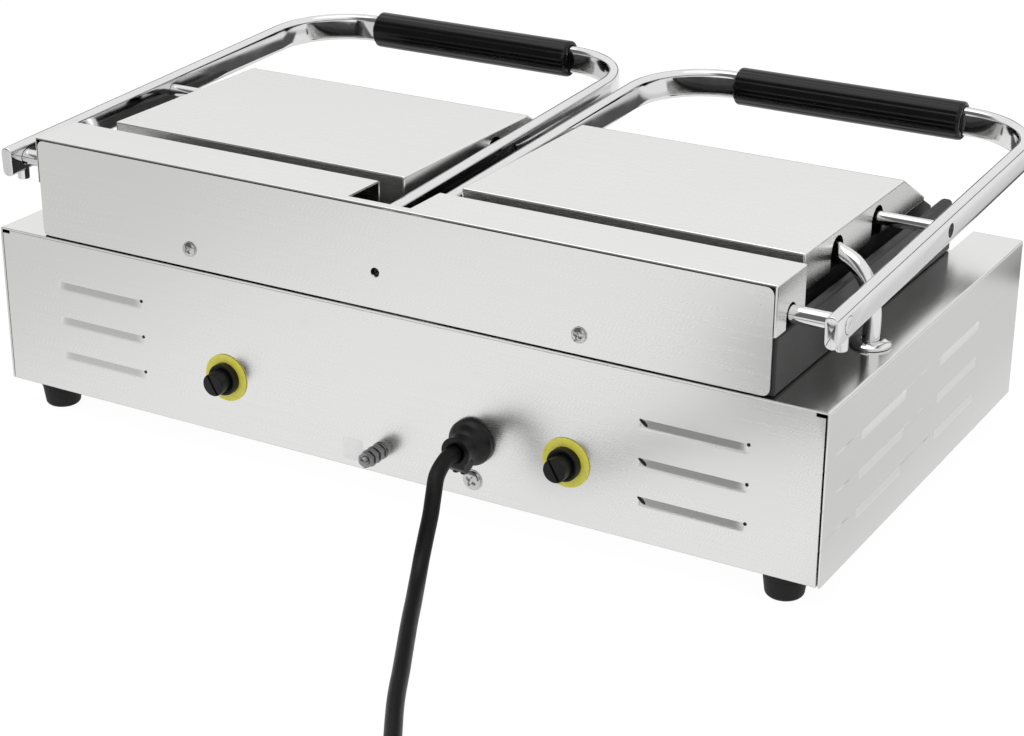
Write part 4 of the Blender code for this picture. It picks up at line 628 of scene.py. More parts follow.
def refined(node, name, edge=0.0, angle=35):
    """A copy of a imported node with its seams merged, its flats made whole and its edges eased."""
    mesh = NODES[node].data.copy()
    work = bmesh.new()
    work.from_mesh(mesh)
    bmesh.ops.remove_doubles(work, verts=work.verts, dist=1e-6)
    bmesh.ops.dissolve_limit(work, angle_limit=math.radians(1), verts=work.verts, edges=work.edges)
    work.to_mesh(mesh)
    work.free()
    item = add(name, shaded(mesh, angle), node)
    return rounded_edges(item, edge, angle) if edge else flat_normals(item)


def unit(vectors):
    length = np.linalg.norm(vectors, axis=-1, keepdims=True)
    return vectors / np.where(length == 0, 1, length)


def eased(corners, radii, steps=6, closed=False):
    """An outline with round corners.

    Each corner is left at its radius before it and met at its radius after it, along the
    parabola (1-t)^2 a + 2t(1-t) corner + t^2 b, with t from 0 to 1.
    """
    corners = np.asarray(corners, float)
    before = np.roll(corners, 1, axis=0)
    after = np.roll(corners, -1, axis=0)
    if not closed:
        before[0] = corners[0]
        after[-1] = corners[-1]
    radii = np.broadcast_to(np.asarray(radii, float), len(corners))[:, None]
    start = corners + unit(before - corners) * radii
    end = corners + unit(after - corners) * radii
    t = np.linspace(0, 1, steps)[:, None, None]
    curve = (1 - t) ** 2 * start + 2 * t * (1 - t) * corners + t ** 2 * end
    return curve.transpose(1, 0, 2).reshape(-1, corners.shape[1])


def round_turn(sides):
    """The angles of a whole turn in equal steps."""
    return np.arange(sides) * TURN / sides


def quarter_turn(steps):
    """The angles of a quarter turn, with both its ends."""
    return np.linspace(0, QUARTER, steps)


def about_axis(origin, axis, along, away, around):
    """Points at origin + along the axis + away (cos a, sin a) in the plane square to it."""
    axis = unit(np.asarray(axis, float))
    first = unit(np.cross(BACK if abs(axis[2]) > 0.9 else UP, axis))
    second = np.cross(axis, first)
    return (np.asarray(origin) + along[..., None] * axis + (away * np.cos(around))[..., None] * first
            + (away * np.sin(around))[..., None] * second)


def turned(profile, origin, axis, sides=56, closed=False, angle=35):
    """A turned shape: a profile of radius and height, carried round an axis."""
    profile = np.asarray(profile, float)
    if closed:
        profile = chain(profile, profile[:1])
    points = about_axis(origin, axis, profile[:, 1:2], profile[:, 0:1], round_turn(sides))
    return tidy(grid(points, wrap=True), angle)


def lathe(profile, radii, origin, axis, sides=56, steps=6):
    """A turned shape with round corners, whose profile and corners' radii are in millimetres.

    A profile that starts away from the axis is a ring's, and closes on itself.
    """
    closed = profile[0][0] > 0
    return turned(eased(mm(*profile), mm(*radii), steps, closed), origin, axis, sides, closed)


def capped(points, first, last):
    """Rows of points with a row gathered in one point before them and another after them."""
    shape = points[:1].shape
    return chain(np.broadcast_to(first, shape), points, np.broadcast_to(last, shape))


def carried(path, section, side, angle=35):
    """A section carried along a path.

    At each path point the section's first share lies along side x tangent, and its second
    along the direction square to both. The ends close on their middles.
    """
    tangent = unit(np.gradient(path, axis=0))
    out = unit(np.cross(np.broadcast_to(side, path.shape), tangent))
    rise = np.cross(tangent, out)
    points = path[:, None] + section[..., 0:1] * out[:, None] + section[..., 1:2] * rise[:, None]
    return tidy(grid(capped(points, path[0], path[-1]), wrap=True), angle)


def circle_section(radius, sides):
    around = round_turn(sides)
    return points_of(np.cos(around), np.sin(around)) * radius


def box_section(half_width, half_height, radius):
    """A rectangle with round corners."""
    corners = np.array(((1, 1), (-1, 1), (-1, -1), (1, -1))) * (half_width, half_height)
    return eased(corners, radius, closed=True)


def flowing(points, steps):
    """A curve through the points.

    Each span is a cubic, whose slope at either end is half the chord between that end's
    neighbours.
    """
    route = np.asarray(points, float)
    route = chain(2 * route[:1] - route[1:2], route, 2 * route[-1:] - route[-2:-1])
    a, b, c, d = route[:-3], route[1:-2], route[2:-1], route[3:]
    t = (np.arange(steps) / steps)[:, None, None]
    spans = (2 * b + (c - a) * t + (2 * a - 5 * b + 4 * c - d) * t ** 2
             + (3 * b - a - 3 * c + d) * t ** 3) / 2
    return chain(spans.transpose(1, 0, 2).reshape(-1, 3), route[-2:-1])


# Mains cord, as in the part: its mouth, its free route, its coil and its tail with the plug
CORD_RADIUS = 4.75 * MILLI
GLAND_X = middle_of("cable_gland")[0]
GLAND_Z = FLOOR + 36.5 * MILLI
CORD_MOUTH = np.array((GLAND_X, REAR + 19.8 * MILLI, GLAND_Z))
CORD_ROUTE = mm(
    (-68.7, 216.4, 51.0), (-72.2, 225.7, 44.0), (-74.1, 232.0, 34.7), (-74.3, 237.2, 23.8),
    (-76.1, 244.8, 14.4), (-79.9, 254.4, 8.4), (-84.9, 265.2, 5.6), (-90.5, 276.4, 4.8),
    (-100.1, 295.4, 4.8), (-109.8, 314.0, 4.8), (-123.7, 340.4, 4.8), (-137.5, 367.0, 4.8),
    (-152.5, 392.8, 4.8), (-168.3, 418.2, 4.8))
COIL_CENTRE = np.array((-0.1436, 0.5019, 0))
COIL_RADIUS = 52 * MILLI
COIL_STEP = 10.2 * MILLI
COIL_TURNS = 1.75
COIL_TURN_POINTS = 24
COIL_ENTRY = math.radians(208)
PLUG_TAIL = 75 * MILLI
PLUG_TURN = math.radians(50)
PLUG_THICKNESS = 21 * MILLI


def coil_path():
    """Two layers of loops.

    The radius falls and then grows by a step each turn, and the path climbs a layer by half a
    cosine wave in the half turn where it reverses.
    """
    steps = round(COIL_TURNS * COIL_TURN_POINTS)
    climb = COIL_TURN_POINTS // 2
    count = np.arange(2 * steps + climb + 1)
    outer = COIL_RADIUS + COIL_STEP * COIL_TURNS / 2
    inner = outer - COIL_STEP * COIL_TURNS
    rising = np.clip(count - steps, 0, climb)
    reverse = climb / 2 - np.abs(rising - climb / 2)
    second = np.where(count < steps + climb, -reverse, count - steps - climb)
    radius = inner + COIL_STEP / COIL_TURN_POINTS * np.where(count <= steps, steps - count, second)
    height = CORD_RADIUS + COIL_STEP * (1 - np.cos(np.pi * rising / climb)) / 2
    around = COIL_ENTRY - TURN * count / COIL_TURN_POINTS
    return COIL_CENTRE + points_of(radius * np.cos(around), radius * np.sin(around), height)


def cord_path():
    """The whole centreline from the gland's mouth to the plug."""
    coil = coil_path()
    entry = unit(coil[0] - coil[1])
    start = coil[0] + entry * 2 * CORD_RADIUS
    leave = unit((coil[-1] - coil[-2]) * (1, 1, 0))
    away = np.array(Matrix.Rotation(PLUG_TURN, 3, "Z") @ Vector(leave))
    end = coil[-1] + leave * PLUG_TAIL / 2 + away * PLUG_TAIL / 2
    end[2] = PLUG_THICKNESS / 2
    tail = flowing([coil[-2], coil[-1], coil[-1] + leave * PLUG_TAIL / 3, end - away * PLUG_TAIL / 3,
                    end - away * 2 * CORD_RADIUS, end], 8)[9:]
    free = [CORD_MOUTH, CORD_MOUTH + BACK * 2 * CORD_RADIUS, *CORD_ROUTE,
            start + entry * COIL_RADIUS / 2, start + entry * 2 * CORD_RADIUS, start]
    return chain(flowing(free, 8)[:-1], start[None], flowing(coil, 4), tail)


def make_cord():
    """The sheathed mains cord, one round tube along its whole path."""
    path = cord_path()
    curve = bpy.data.curves.new("mains_lead", "CURVE")
    curve.dimensions = "3D"
    curve.bevel_depth = CORD_RADIUS
    curve.bevel_resolution = 6
    curve.use_fill_caps = True
    spline = curve.splines.new("POLY")
    spline.points.add(len(path) - 1)
    spline.points.foreach_set("co", points_of(*path.T, 1.0).ravel())
    spline.use_smooth = True
    curve.materials.append(FINISHES["cord_rubber"])
    lead = linked("mains_lead", curve)
    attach(lead, BODY_OF["mains_cord"])
    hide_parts("mains_cord", "mains_cord_coil")


def face_values(mesh, name, width=1):
    """One property of all of a mesh's faces, a row for each."""
    values = np.empty(len(mesh.polygons) * width)
    mesh.polygons.foreach_get(name, values)
    return values.reshape(-1, width)


def second_finish(item, finish, chosen):
    """Give the chosen faces of a piece another finish."""
    item.data.materials.append(FINISHES[finish])
    item.data.polygons.foreach_set("material_index", chosen.astype(np.int32))
    return item


def make_plug():
    """The moulded plug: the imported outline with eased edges, its pins in bright metal."""
    plug = refined("plug", "moulded_plug", edge=0.5 * MILLI, angle=30)
    pins = face_values(plug.data, "center", 3)[:, 2] > PLUG_THICKNESS + GAP
    return second_finish(plug, "bright_rod", pins)


def louvre_rows(low, high):
    """Heights up a louvred wall with how deep each lies as a share.

    Up each louvre the share is v^2 / (2 e (1 - e / 2)) over the first stretch e and then a
    straight slope up to 1. The top edge's height comes twice, once deep and once flush.
    """
    ease = LOUVRE_EASE
    slope = 1 / (1 - ease / 2)
    scoop = np.where(LOUVRE_SHARES < ease, slope * LOUVRE_SHARES ** 2 / (2 * ease),
                     slope * (LOUVRE_SHARES - ease / 2))
    half = LOUVRE_HEIGHT / 2
    rise = chain((LOUVRE_SHARES - 0.5) * LOUVRE_HEIGHT, (half, half + GUARD))
    scoop = chain(scoop, (0, 0))
    louvres = [points_of(middle + rise, scoop) for middle in LOUVRE_HEIGHTS]
    return chain(((low, 0), (low + GUARD, 0)), *louvres, ((high - GUARD, 0), (high, 0))).T


def louvre_columns(low, high, middles, breaks):
    """Places along a louvred wall, close together where a louvre's ends curve in."""
    end = (1 - np.cos(quarter_turn(9))) * LOUVRE_END
    half = LOUVRE_LENGTH / 2
    flat = np.linspace(LOUVRE_END - half, half - LOUVRE_END, 7)
    shape = chain(end - half, flat, half - end)
    places = chain((low, low + GUARD, high - GUARD, high), *(middle + shape for middle in middles), breaks)
    return np.unique(np.round(places, 7))


def louvre_ends(places, middles):
    """How deep a louvre is along its length: a share of 1, and at its ends a quarter circle to 0."""
    half = LOUVRE_LENGTH / 2
    away = np.min(np.abs(places[:, None] - middles), axis=1)
    into = np.clip((away - (half - LOUVRE_END)) / LOUVRE_END, 0, 1)
    return np.sqrt(1 - into ** 2)


def sheet_mesh(points, keep):
    """A sheet on a grid, its faces turned so that most of its area faces away from the grill."""
    mesh = tidy(grid(points, keep=keep), outward=False)
    out = face_values(mesh, "center", 3) - (0, MIDDLE_Y, (FLOOR + TOP) / 2)
    facing = (out * face_values(mesh, "normal", 3)).sum(axis=1)
    if (np.sign(facing) * face_values(mesh, "area")[:, 0]).sum() < 0:
        mesh.flip_normals()
    return mesh


def make_wrapper():
    """Sides and top in one folded sheet.

    Across, the section runs up a side, round the fold, over the wing, down to the ledge and
    back the same way. In the rear part the ledge lies up at the top. Along Y the section is
    repeated. Each louvre sinks the side by the product of its two shares and its reach, its mouth
    stays open, and its sloping face takes a lighter copy of the steel, a painted highlight.
    """
    heights, scoops = louvre_rows(FLOOR, TOP - FOLD)
    bend = quarter_turn(7)[1:]
    strip = np.array((HALF_WIDTH - FOLD - GUARD, WING_X + GUARD, WING_X))
    drop = np.array((GUARD, 0.25 * (TOP - LEDGE), TOP - LEDGE - GUARD, TOP - LEDGE))
    inner = np.array((WING_X - GUARD, OPENING_X + GUARD, OPENING_X, OPENING_BREAK, 0.0))
    across, front, rear = chain(
        points_of(HALF_WIDTH, heights, heights),
        points_of(HALF_WIDTH - FOLD + FOLD * np.cos(bend), *[TOP - FOLD + FOLD * np.sin(bend)] * 2),
        points_of(strip, TOP, TOP), points_of(WING_X, TOP - drop, TOP), points_of(inner, LEDGE, TOP)).T
    scoop = chain(scoops, np.zeros(len(across) - len(scoops)))
    lower = (FRONT, FRONT + GUARD, RECESS - GUARD, RECESS)
    places = louvre_columns(RECESS, REAR, SIDE_LOUVRES, OPENING_Y)
    ends = chain(np.zeros(len(lower)), louvre_ends(places, SIDE_LOUVRES))[:, None]
    places = chain(lower, places)[:, None]
    depth = SIDE_LOUVRE_REACH * ends * scoop
    up = np.where(np.arange(len(places))[:, None] < len(lower), front, rear)
    right = points_of(across - depth, places, up)
    points = np.hstack([right, right[:, -2::-1] * (-1, 1, 1)])
    mouth = (scoop[:-1] == 1) & (scoop[1:] == 0)
    open_cells = mouth & (ends[:-1] + ends[1:] > 0)
    middle_x = np.abs(points[:-1, :-1, 0] + points[1:, 1:, 0]) / 2
    middle_y = (points[:-1, :-1, 1] + points[1:, 1:, 1]) / 2
    over_griddle = (middle_x < OPENING_X) & (middle_y > OPENING_Y[0]) & (middle_y < OPENING_Y[1])
    keep = ~(np.hstack([open_cells, open_cells[:, ::-1]]) | over_griddle)
    item = add("wrapper_sheet", sheet_mesh(points, keep), "body_wrapper", finish="wrapper_sheet")
    across, along, up = (part[:, None] for part in face_values(item.data, "center", 3).T)
    # The louvres' sloping faces take the lighter steel, a painted highlight
    highlight_faces = (np.abs(up - LOUVRE_HEIGHTS) < LOUVRE_HEIGHT / 2).any(axis=1)
    highlight_faces &= (np.abs(along - SIDE_LOUVRES) < LOUVRE_LENGTH / 2).any(axis=1)
    highlight_faces &= np.abs(across[:, 0]) > WING_X + GUARD
    thickened(second_finish(item, "louvre_highlight_paint", highlight_faces))


def make_rear_panel():
    """The inset rear panel: a flat sheet sunk by its louvres, with a notch at each upper corner.

    Its louvres' mouths are closed, its top edge is raised over the seam above it, and a narrow
    seam shows beside it.
    """
    low, high = corners_of("rear_panel")
    low, high = low + (SEAMS_SHOWN[0], 0, 0), high + (-SEAMS_SHOWN[1], 0, SEAM_COVERED)
    heights, scoops = louvre_rows(low[2], high[2])
    notch = high[2] - NOTCH_DROP
    heights = np.insert(heights, -2, notch)
    scoops = np.insert(scoops, -2, 0)
    places = louvre_columns(low[0], high[0], REAR_LOUVRES, (low[0] + NOTCH_WIDTH, high[0] - NOTCH_WIDTH, 0))
    ends = louvre_ends(places, REAR_LOUVRES)
    depth = np.where(places < 0, *REAR_LOUVRE_REACHES) * scoops[:, None] * ends
    points = points_of(places, REAR - depth, heights[:, None])
    middle_x, middle_z = ((part[:-1] + part[1:]) / 2 for part in (places, heights))
    corner = (np.abs(middle_x) > high[0] - NOTCH_WIDTH) & (middle_z > notch)[:, None]
    thickened(add("rear_sheet", sheet_mesh(points, ~corner), "rear_panel"))


def make_feet():
    """Rubber feet: a tapered profile with a soft top edge, a stud into the base and a sunk screw."""
    for end in ("front", "rear"):
        for side in SIDES:
            node = f"foot_{end}_{side}"
            place = (*middle_of(node)[:2], FLOOR)
            rubber = lathe(((0, -0.3), (13.5, -0.3), (13.2, -4.5), (12.5, -4.9), (12.6, -6.1), (11.2, -16.4),
                            (9.6, -18), (5.5, -18), (5.2, -6), (0, -6)),
                           (0, 1.2, 0.4, 0.3, 0.3, 1.0, 0.9, 0.6, 0.3, 0), place, UP, 64)
            stud = turned(mm((0, 0), (3, 0), (3, 7), (0, 7)), place, UP, 24)
            add(f"rubber_{node}", joined([rubber, stud]), node)
            screw = lathe(((0, -8.4), (2.6, -8.4), (3.4, -7.4), (3.4, -6.2), (0, -6.2)),
                          (0, 0.5, 0.4, 0, 0), place, UP, 32)
            add(f"{node}_screw", screw, like=node, finish="screw_steel")


def handle_path():
    """The U of a handle in its own plane, as X and distance from the shaft.

    Its arms and its bar are straight, with a quarter circle between them.
    """
    quarter = quarter_turn(22)
    rise = HANDLE_REACH - HANDLE_BEND + HANDLE_BEND * np.array((np.sin(quarter), np.cos(quarter)))
    first = points_of(HANDLE_INNER + HANDLE_BEND * (1 - np.cos(quarter)), rise[0])
    second = points_of(HANDLE_OUTER - HANDLE_BEND * (1 - np.sin(quarter)), rise[1])
    tail = chain(-HANDLE_TAIL + ARM_EDGE * (1 - np.cos(quarter_turn(ARM_EDGE_STEPS))), HANDLE_BREAKS)
    return chain(points_of(HANDLE_INNER, tail), first, second, points_of(HANDLE_OUTER, tail[::-1]))


def in_handle(side, across, along, above=0.0):
    """A place in a handle's tilted plane: across in X, along it from the shaft, and above it."""
    start = np.array((0, SHAFT_Y, SHAFT_Z))
    across, along, above = (np.asarray(part, float)[..., None] for part in (across, along, above))
    return start + side * across * ACROSS + along * ALONG + above * ABOVE


def make_handle(label, side):
    """A bent flat bar with round edges, its set screws, its shaft, and the rod with its grub screws,
    whose near-black finish is painted shade in the holes at the rod's ends.

    The rounded rectangle stays square to the path, and near each tail it draws in by a quarter
    circle, so that the cut ends are eased. Holes for the shaft and the pivot rod are cut through.
    """
    flat = handle_path()
    draw = np.zeros(len(flat))
    draw[:ARM_EDGE_STEPS] = ARM_EDGE * (1 - np.sin(quarter_turn(ARM_EDGE_STEPS)))
    draw += draw[::-1]
    sections = np.stack([box_section(ARM_HALF_WIDTH - inset, ARM_HALF_HEIGHT - inset, ARM_ROUND - inset)
                         for inset in draw])
    holes = []
    screws = []
    for across in (HANDLE_INNER, HANDLE_OUTER):
        for y, z, radius in ARM_HOLES:
            start = (side * across - ARM_HOLE_LENGTH / 2 * MILLI, y, z)
            drill = mm((0, 0), (radius, 0), (radius, ARM_HOLE_LENGTH), (0, ARM_HOLE_LENGTH))
            holes.append(turned(drill, start, ACROSS, 48))
        screws.append(lathe(((0, 5.4), (3.9, 5.4), (3.9, 14.9), (2.6, 15.2), (2.2, 14.2), (2.2, 12.6),
                             (0, 12.2)), (0, 0, 0.7, 0.3, 0.2, 0.2, 0),
                            (side * across, SHAFT_Y, SHAFT_Z), -UP, 40))
    bar = carved(carried(in_handle(side, flat[:, 0], flat[:, 1]), sections, ABOVE), holes)
    add(f"{label}_handle_bar", joined([bar, *screws]), f"{label}_handle_frame")

    low = side * (HANDLE_INNER - ARM_HALF_WIDTH)
    length = HANDLE_OUTER - HANDLE_INNER + 2 * ARM_HALF_WIDTH
    far = length / MILLI
    outward = side * ACROSS
    shaft = lathe(((0, -0.1), (1.6, -0.1), (1.6, -0.5), (5, -0.5), (5, 0.5 + far), (1.6, 0.5 + far),
                   (1.6, 0.1 + far), (0, 0.1 + far)), (0, 0.1, 0.2, 0.5, 0.5, 0.2, 0.1, 0),
                  (low, SHAFT_Y, SHAFT_Z), outward, 48)
    add(f"{label}_shaft", shaft, f"{label}_hinge_shaft")
    start = np.array((low, ROD_Y, ROD_Z))
    rod = lathe(((0, 3), (4, 3), (4, far - 3), (0, far - 3)), (0, 0.6, 0.6, 0), start, outward, 40)
    add(f"{label}_rod", rod, f"{label}_pivot_rod")
    # Set screws in the rod's end holes; their near-black finish paints the shade inside the holes
    shade_screws = [lathe(((0, 1.9), (1.5, 1.9), (1.5, 1.1), (4.1, 1.1), (4.1, 2.7), (0, 2.7)),
                   (0, 0.1, 0.1, 0.3, 0.1, 0), place, axis, 32)
             for place, axis in ((start, outward), (start + length * outward, -outward))]
    add(f"{label}_rod_end_shade_screws", joined(shade_screws), like=f"{label}_pivot_rod", finish="black_print_and_shade")


def make_grip(label, side):
    """A fluted sleeve, one closed surface from its skin round both ends into its bore.

    At angle a the skin's radius is the grip's less a flute times a power of 1 - |sin(n a / 2)|, and
    near each end it draws in by a quarter circle. The bore is the ray's meeting with the bar's
    rounded rectangle.
    """
    around = round_turn(GRIP_FLUTES * GRIP_FLUTE_STEPS)
    flutes = (1 - np.abs(np.sin(GRIP_FLUTES * around / 2))) ** GRIP_FLUTE_SHARPNESS
    skin = GRIP_RADIUS - GRIP_FLUTE * flutes
    half_w, half_h = ARM_HALF_WIDTH + GAP, ARM_HALF_HEIGHT + GAP
    bore = np.minimum(half_w / np.maximum(np.abs(np.cos(around)), 1e-6),
                      half_h / np.maximum(np.abs(np.sin(around)), 1e-6))
    bore = np.minimum(bore, math.hypot(half_w, half_h) - GRIP_BORE_ROUND)
    ease = quarter_turn(8)
    half = GRIP_LENGTH / 2
    place = chain(half - GRIP_ROUND * (1 - np.cos(ease)), np.linspace(half - GRIP_ROUND, 0, 4)[1:])
    inset = chain(GRIP_ROUND * (1 - np.sin(ease)), np.zeros(3))
    end = half - GRIP_BORE_LIP
    place = chain(place, -place[-2::-1], (-half, -end, end, half), place[:1])
    radius = skin - chain(inset, inset[-2::-1])[:, None]
    wide = bore + GRIP_BORE_FLARE
    radius = chain(radius, (wide, bore, bore, wide), radius[:1])
    centre = (HANDLE_INNER + HANDLE_OUTER) / 2
    points = in_handle(side, centre + place[:, None] + 0 * radius, HANDLE_REACH + radius * np.cos(around),
                       radius * np.sin(around))
    add(f"{label}_grip_sleeve", tidy(grid(points, wrap=True), 50), f"{label}_grip")


CONDUIT_RADIUS = 5 * MILLI
CONDUIT_SLOT_Y = ROD_Y + 60 * MILLI
CONDUIT_MOUTH_DROP = 12.5 * MILLI
CONDUIT_INSIDE = 2.3 * MILLI
CONDUIT_SHARES = (
    (0, -0.853, 0), (0, 0, 0), (0, 0.42, 0), (0.134, 0.71, 0.134), (0.5, 0.922, 0.5), (1, 1, 1))


def make_conduit(label, side):
    """A smooth tube and its collar. The tube goes up and forward into the lid."""
    conduit, collar = f"{label}_conduit", f"{label}_conduit_collar"
    x, y, _ = middle_of(collar) * (side, 1, 1)
    lid_low, lid_high = corners_of(f"{label}_lid_cover")
    face = max(abs(lid_low[0]), abs(lid_high[0]))
    mouth = lid_high[2] - CONDUIT_MOUTH_DROP
    route = [(side * (x + (face - x) * inward), y + (CONDUIT_SLOT_Y - y) * forward, TOP + (mouth - TOP) * up)
             for inward, up, forward in CONDUIT_SHARES]
    route.append((side * (face - CONDUIT_INSIDE), CONDUIT_SLOT_Y, mouth))
    tube = carried(flowing(route, 12), circle_section(CONDUIT_RADIUS, 32), BACK)
    tube.materials.append(FINISHES["bright_rod"])
    item = linked(f"{label}_lead_tube", tube)
    side * x
    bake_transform(item)
    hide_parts(conduit)
    low, high = corners_of(collar)
    height = (high[2] - low[2]) / MILLI
    ring = lathe(((5.3, 0), (11.8, 0), (11.8, 0.45 * height), (8.4, 0.95 * height), (5.3, height)),
                 (0, 0.1, 0.6, 1.2, 0.3), (side * x, y, low[2]), UP, 64)
    add(f"{label}_collar_ring", ring, collar)


SPRING_TURNS = 6
SPRING_WIRE = 1.5 * MILLI
SPRING_RADIUS = 10.8 * MILLI
SPRING_PITCH = 4.5 * MILLI
SPRING_START = 70 * MILLI
SPRING_TURN_STEPS = 28
SPRING_FOOT_LIFT = 3.7 * MILLI
SPRING_HOOK_REACH = 5.3 * MILLI


def make_spring(label, side):
    """A torsion spring: a helix about the shaft with a leg to the bracket and a hook to the shaft."""
    around = np.linspace(0, SPRING_TURNS * TURN, SPRING_TURNS * SPRING_TURN_STEPS + 1)
    reach = SPRING_START + SPRING_PITCH * around / TURN
    coil = points_of(side * reach, SHAFT_Y + SPRING_RADIUS * np.sin(around - QUARTER),
                     SHAFT_Z + SPRING_RADIUS * np.cos(around - QUARTER))
    foot = (side * SPRING_START, SHAFT_Y - SPRING_RADIUS, TOP + SPRING_FOOT_LIFT)
    hook = (coil[-1][0] + side * SPRING_WIRE, SHAFT_Y - SPRING_HOOK_REACH, SHAFT_Z)
    mesh = carried(chain([foot], coil, [hook]), circle_section(SPRING_WIRE * 0.98, 12), ACROSS, angle=50)
    add(f"{label}_spring_coil", mesh, f"{label}_lid_spring")


CROSS_REACH = 0.6
CROSS_HALF_WIDTH = 0.13
CROSS_DEPTH = 0.85


def cross_head(radius, height, place, turn):
    """A domed screw head with a cross recess.

    The dome's height is the head's times the square root of 1 - 0.75 r^2 over its rim, and the
    recess sinks it where a place lies in either arm of the cross, deeper towards the middle.
    """
    around = round_turn(96)
    rings = chain(np.linspace(0, 0.94, 30), (0.97, 0.99, 1.0))[:, None]
    across, along = np.abs(rings * np.cos(around + turn)), np.abs(rings * np.sin(around + turn))
    dome = np.sqrt(1 - 0.75 * rings ** 2) * np.ones_like(across)
    dome[-1] *= 0.6
    arm = CROSS_HALF_WIDTH + 0.06 * (1 - rings)
    first, second = (np.clip((arm - wide) / 0.05, 0, 1) * np.clip((CROSS_REACH - far) / 0.08, 0, 1)
                     for wide, far in ((across, along), (along, across)))
    depth = np.maximum(first, second) * (0.95 - 0.7 * rings)
    lift = chain(height * (dome - CROSS_DEPTH * depth), np.zeros((1, len(around))))
    away = chain(rings, [[1.0]]) * radius
    return tidy(grid(about_axis(place, BACK, lift, away, around), wrap=True), 40)


def make_panel_screws():
    """Three pan-head screws in the rear sheets."""
    for node, turn in (("left_cover_screw", 0.3), ("right_cover_screw", 1.0), ("clamp_screw", 0.5)):
        low, high = corners_of(node)
        radius = (high[0] - low[0]) / 2
        wide = radius / MILLI
        seat = (REAR if node == "clamp_screw" else corners_of("housing_cover")[1][1]) + GAP / 2
        place = middle_of(node, seat)
        head = cross_head(radius, high[1] - seat, place, turn)
        shank = lathe(((0, -9), (1.2, -9), (0.5 * wide, -7.4), (0.5 * wide, 0.2), (0, 0.2)), (0,),
                      place, BACK, 24)
        washer = lathe(((0.9 * wide, 0), (1.12 * wide, 0), (1.12 * wide, 0.25), (0.9 * wide, 0.35)),
                       (0.05,), place, BACK, 64)
        add(f"{node}_head", joined([head, shank, washer]), node)


RESET_SLOT_TURN = math.radians(-60)


def make_resets():
    """Yellow ring, ring nut and slotted cap of each safety cut-out."""
    for label in SIDES:
        place = middle_of(f"{label}_reset_disc", REAR)
        disc = lathe(((7.6, 0.3), (15.2, 0.3), (15.2, 0.8), (7.6, 0.8)), (0.15,), place, BACK, 96)
        add(f"{label}_ring_plate", disc, f"{label}_reset_disc")
        nut = lathe(((7.5, 1.1), (10.1, 1.1), (10.1, 5.6), (8.4, 5.6), (8.1, 4.9), (7.5, 4.9)),
                    (0.1, 0.1, 0.9, 0.3, 0.2, 0.1), place, BACK, 72)
        add(f"{label}_ring_nut", nut, f"{label}_reset_nut")
        cap = lathe(((0, -3.7), (7.2, -3.7), (7.2, 14.5), (0, 14.5)), (0, 0.2, 0.7, 0), place, BACK, 72)
        slot = block(place + BACK * 14.6 * MILLI, mm(9, 1.4, 0.75), Matrix.Rotation(RESET_SLOT_TURN, 4, "Y"))
        add(f"{label}_cap_button", carved(cap, [slot]), f"{label}_reset_cap")


def make_gland():
    """The cord's gland: a turned flange, waist and lip, with the clamp and its two bosses below."""
    body = lathe(((5.05, -11), (9.5, -11), (9.5, 0.3), (14.2, 0.3), (14.2, 3.4), (12.6, 6.0), (9.6, 8.6),
                  (8.3, 10.6), (8.3, 17.6), (9.3, 18.3), (9.3, 19.4), (6.4, 19.5), (5.05, 18.4)),
                 (0.1, 0.1, 0, 0.2, 0.9, 1.0, 1.0, 0.8, 0.4, 0.4, 0.4, 0.6, 0.3),
                 (GLAND_X, REAR, GLAND_Z), BACK, 72)
    rear, top = REAR + 19.2 * MILLI, GLAND_Z - 5.4 * MILLI
    outline = eased((rear, top) + mm((0, 0), (0, -4.2), (-3.7, -8.5), (-11, -6.4), (-11, 0)),
                    mm(0.3, 1.2, 2.0, 1.5, 0.3), closed=True)
    rows = GLAND_X + mm(-5.5, -5.0, 5.0, 5.5)
    shrink = np.array((0.94, 1, 1, 0.94))[:, None, None]
    centre = outline.mean(axis=0)
    drawn = centre + (outline - centre) * shrink
    shell = points_of(rows[:, None], drawn[..., 0], drawn[..., 1])
    clamp = tidy(grid(capped(shell, shell[0].mean(axis=0), shell[-1].mean(axis=0)), wrap=True), 40)
    bosses = [lathe(((0, 0), (2.1, 0), (2.1, 1.2), (1.4, 1.6), (0, 1.6)), (0, 0, 0.4, 0.2, 0),
                    (GLAND_X + side * 2.6 * MILLI, rear - 5.2 * MILLI, top - 7.6 * MILLI), -UP, 28)
              for side in SIDES.values()]
    add("gland_moulding", joined([body, clamp, *bosses]), "cable_gland")


def hexagon(across, start, height, place):
    """A nut: a turned blank with both faces chamfered, cut to six flats."""
    radius = across * 1.155 / 2
    around = round_turn(72)
    flat = np.minimum(radius, across / 2 / np.cos((around + math.pi / 6) % (math.pi / 3) - math.pi / 6))
    chamfer = 0.8 * MILLI
    drop, share = np.array(((0.0, 0.86), (0.0, 0.94), (0.55, 1.0), (1.0, 1.0))).T
    levels = chain(start + chamfer * drop, start + height - chamfer * drop[::-1])
    away = np.minimum(flat, chain(share, share[::-1])[:, None] * radius)
    levels = chain(levels[:1], levels, levels[-1:])[:, None]
    points = about_axis(place, BACK, levels, capped(away, 0, 0), around)
    return tidy(grid(points, wrap=True), 25)


STUD_PLACE = np.array((-2 * MILLI, REAR, FLOOR + 15 * MILLI))
STUD_INSIDE = 9 * MILLI
STUD_RADIUS = 2.85 * MILLI
STUD_THREAD = 0.14 * MILLI
STUD_PITCH = 1 * MILLI
STUD_NUTS = mm((-6.0, 4.4), (1.5, 4.4), (7.6, 3.6), (13.0, 4.0))
STUD_NUT_WIDTH = 8.6 * MILLI
STUD_WASHERS = (0.3, 6.2, 11.6)


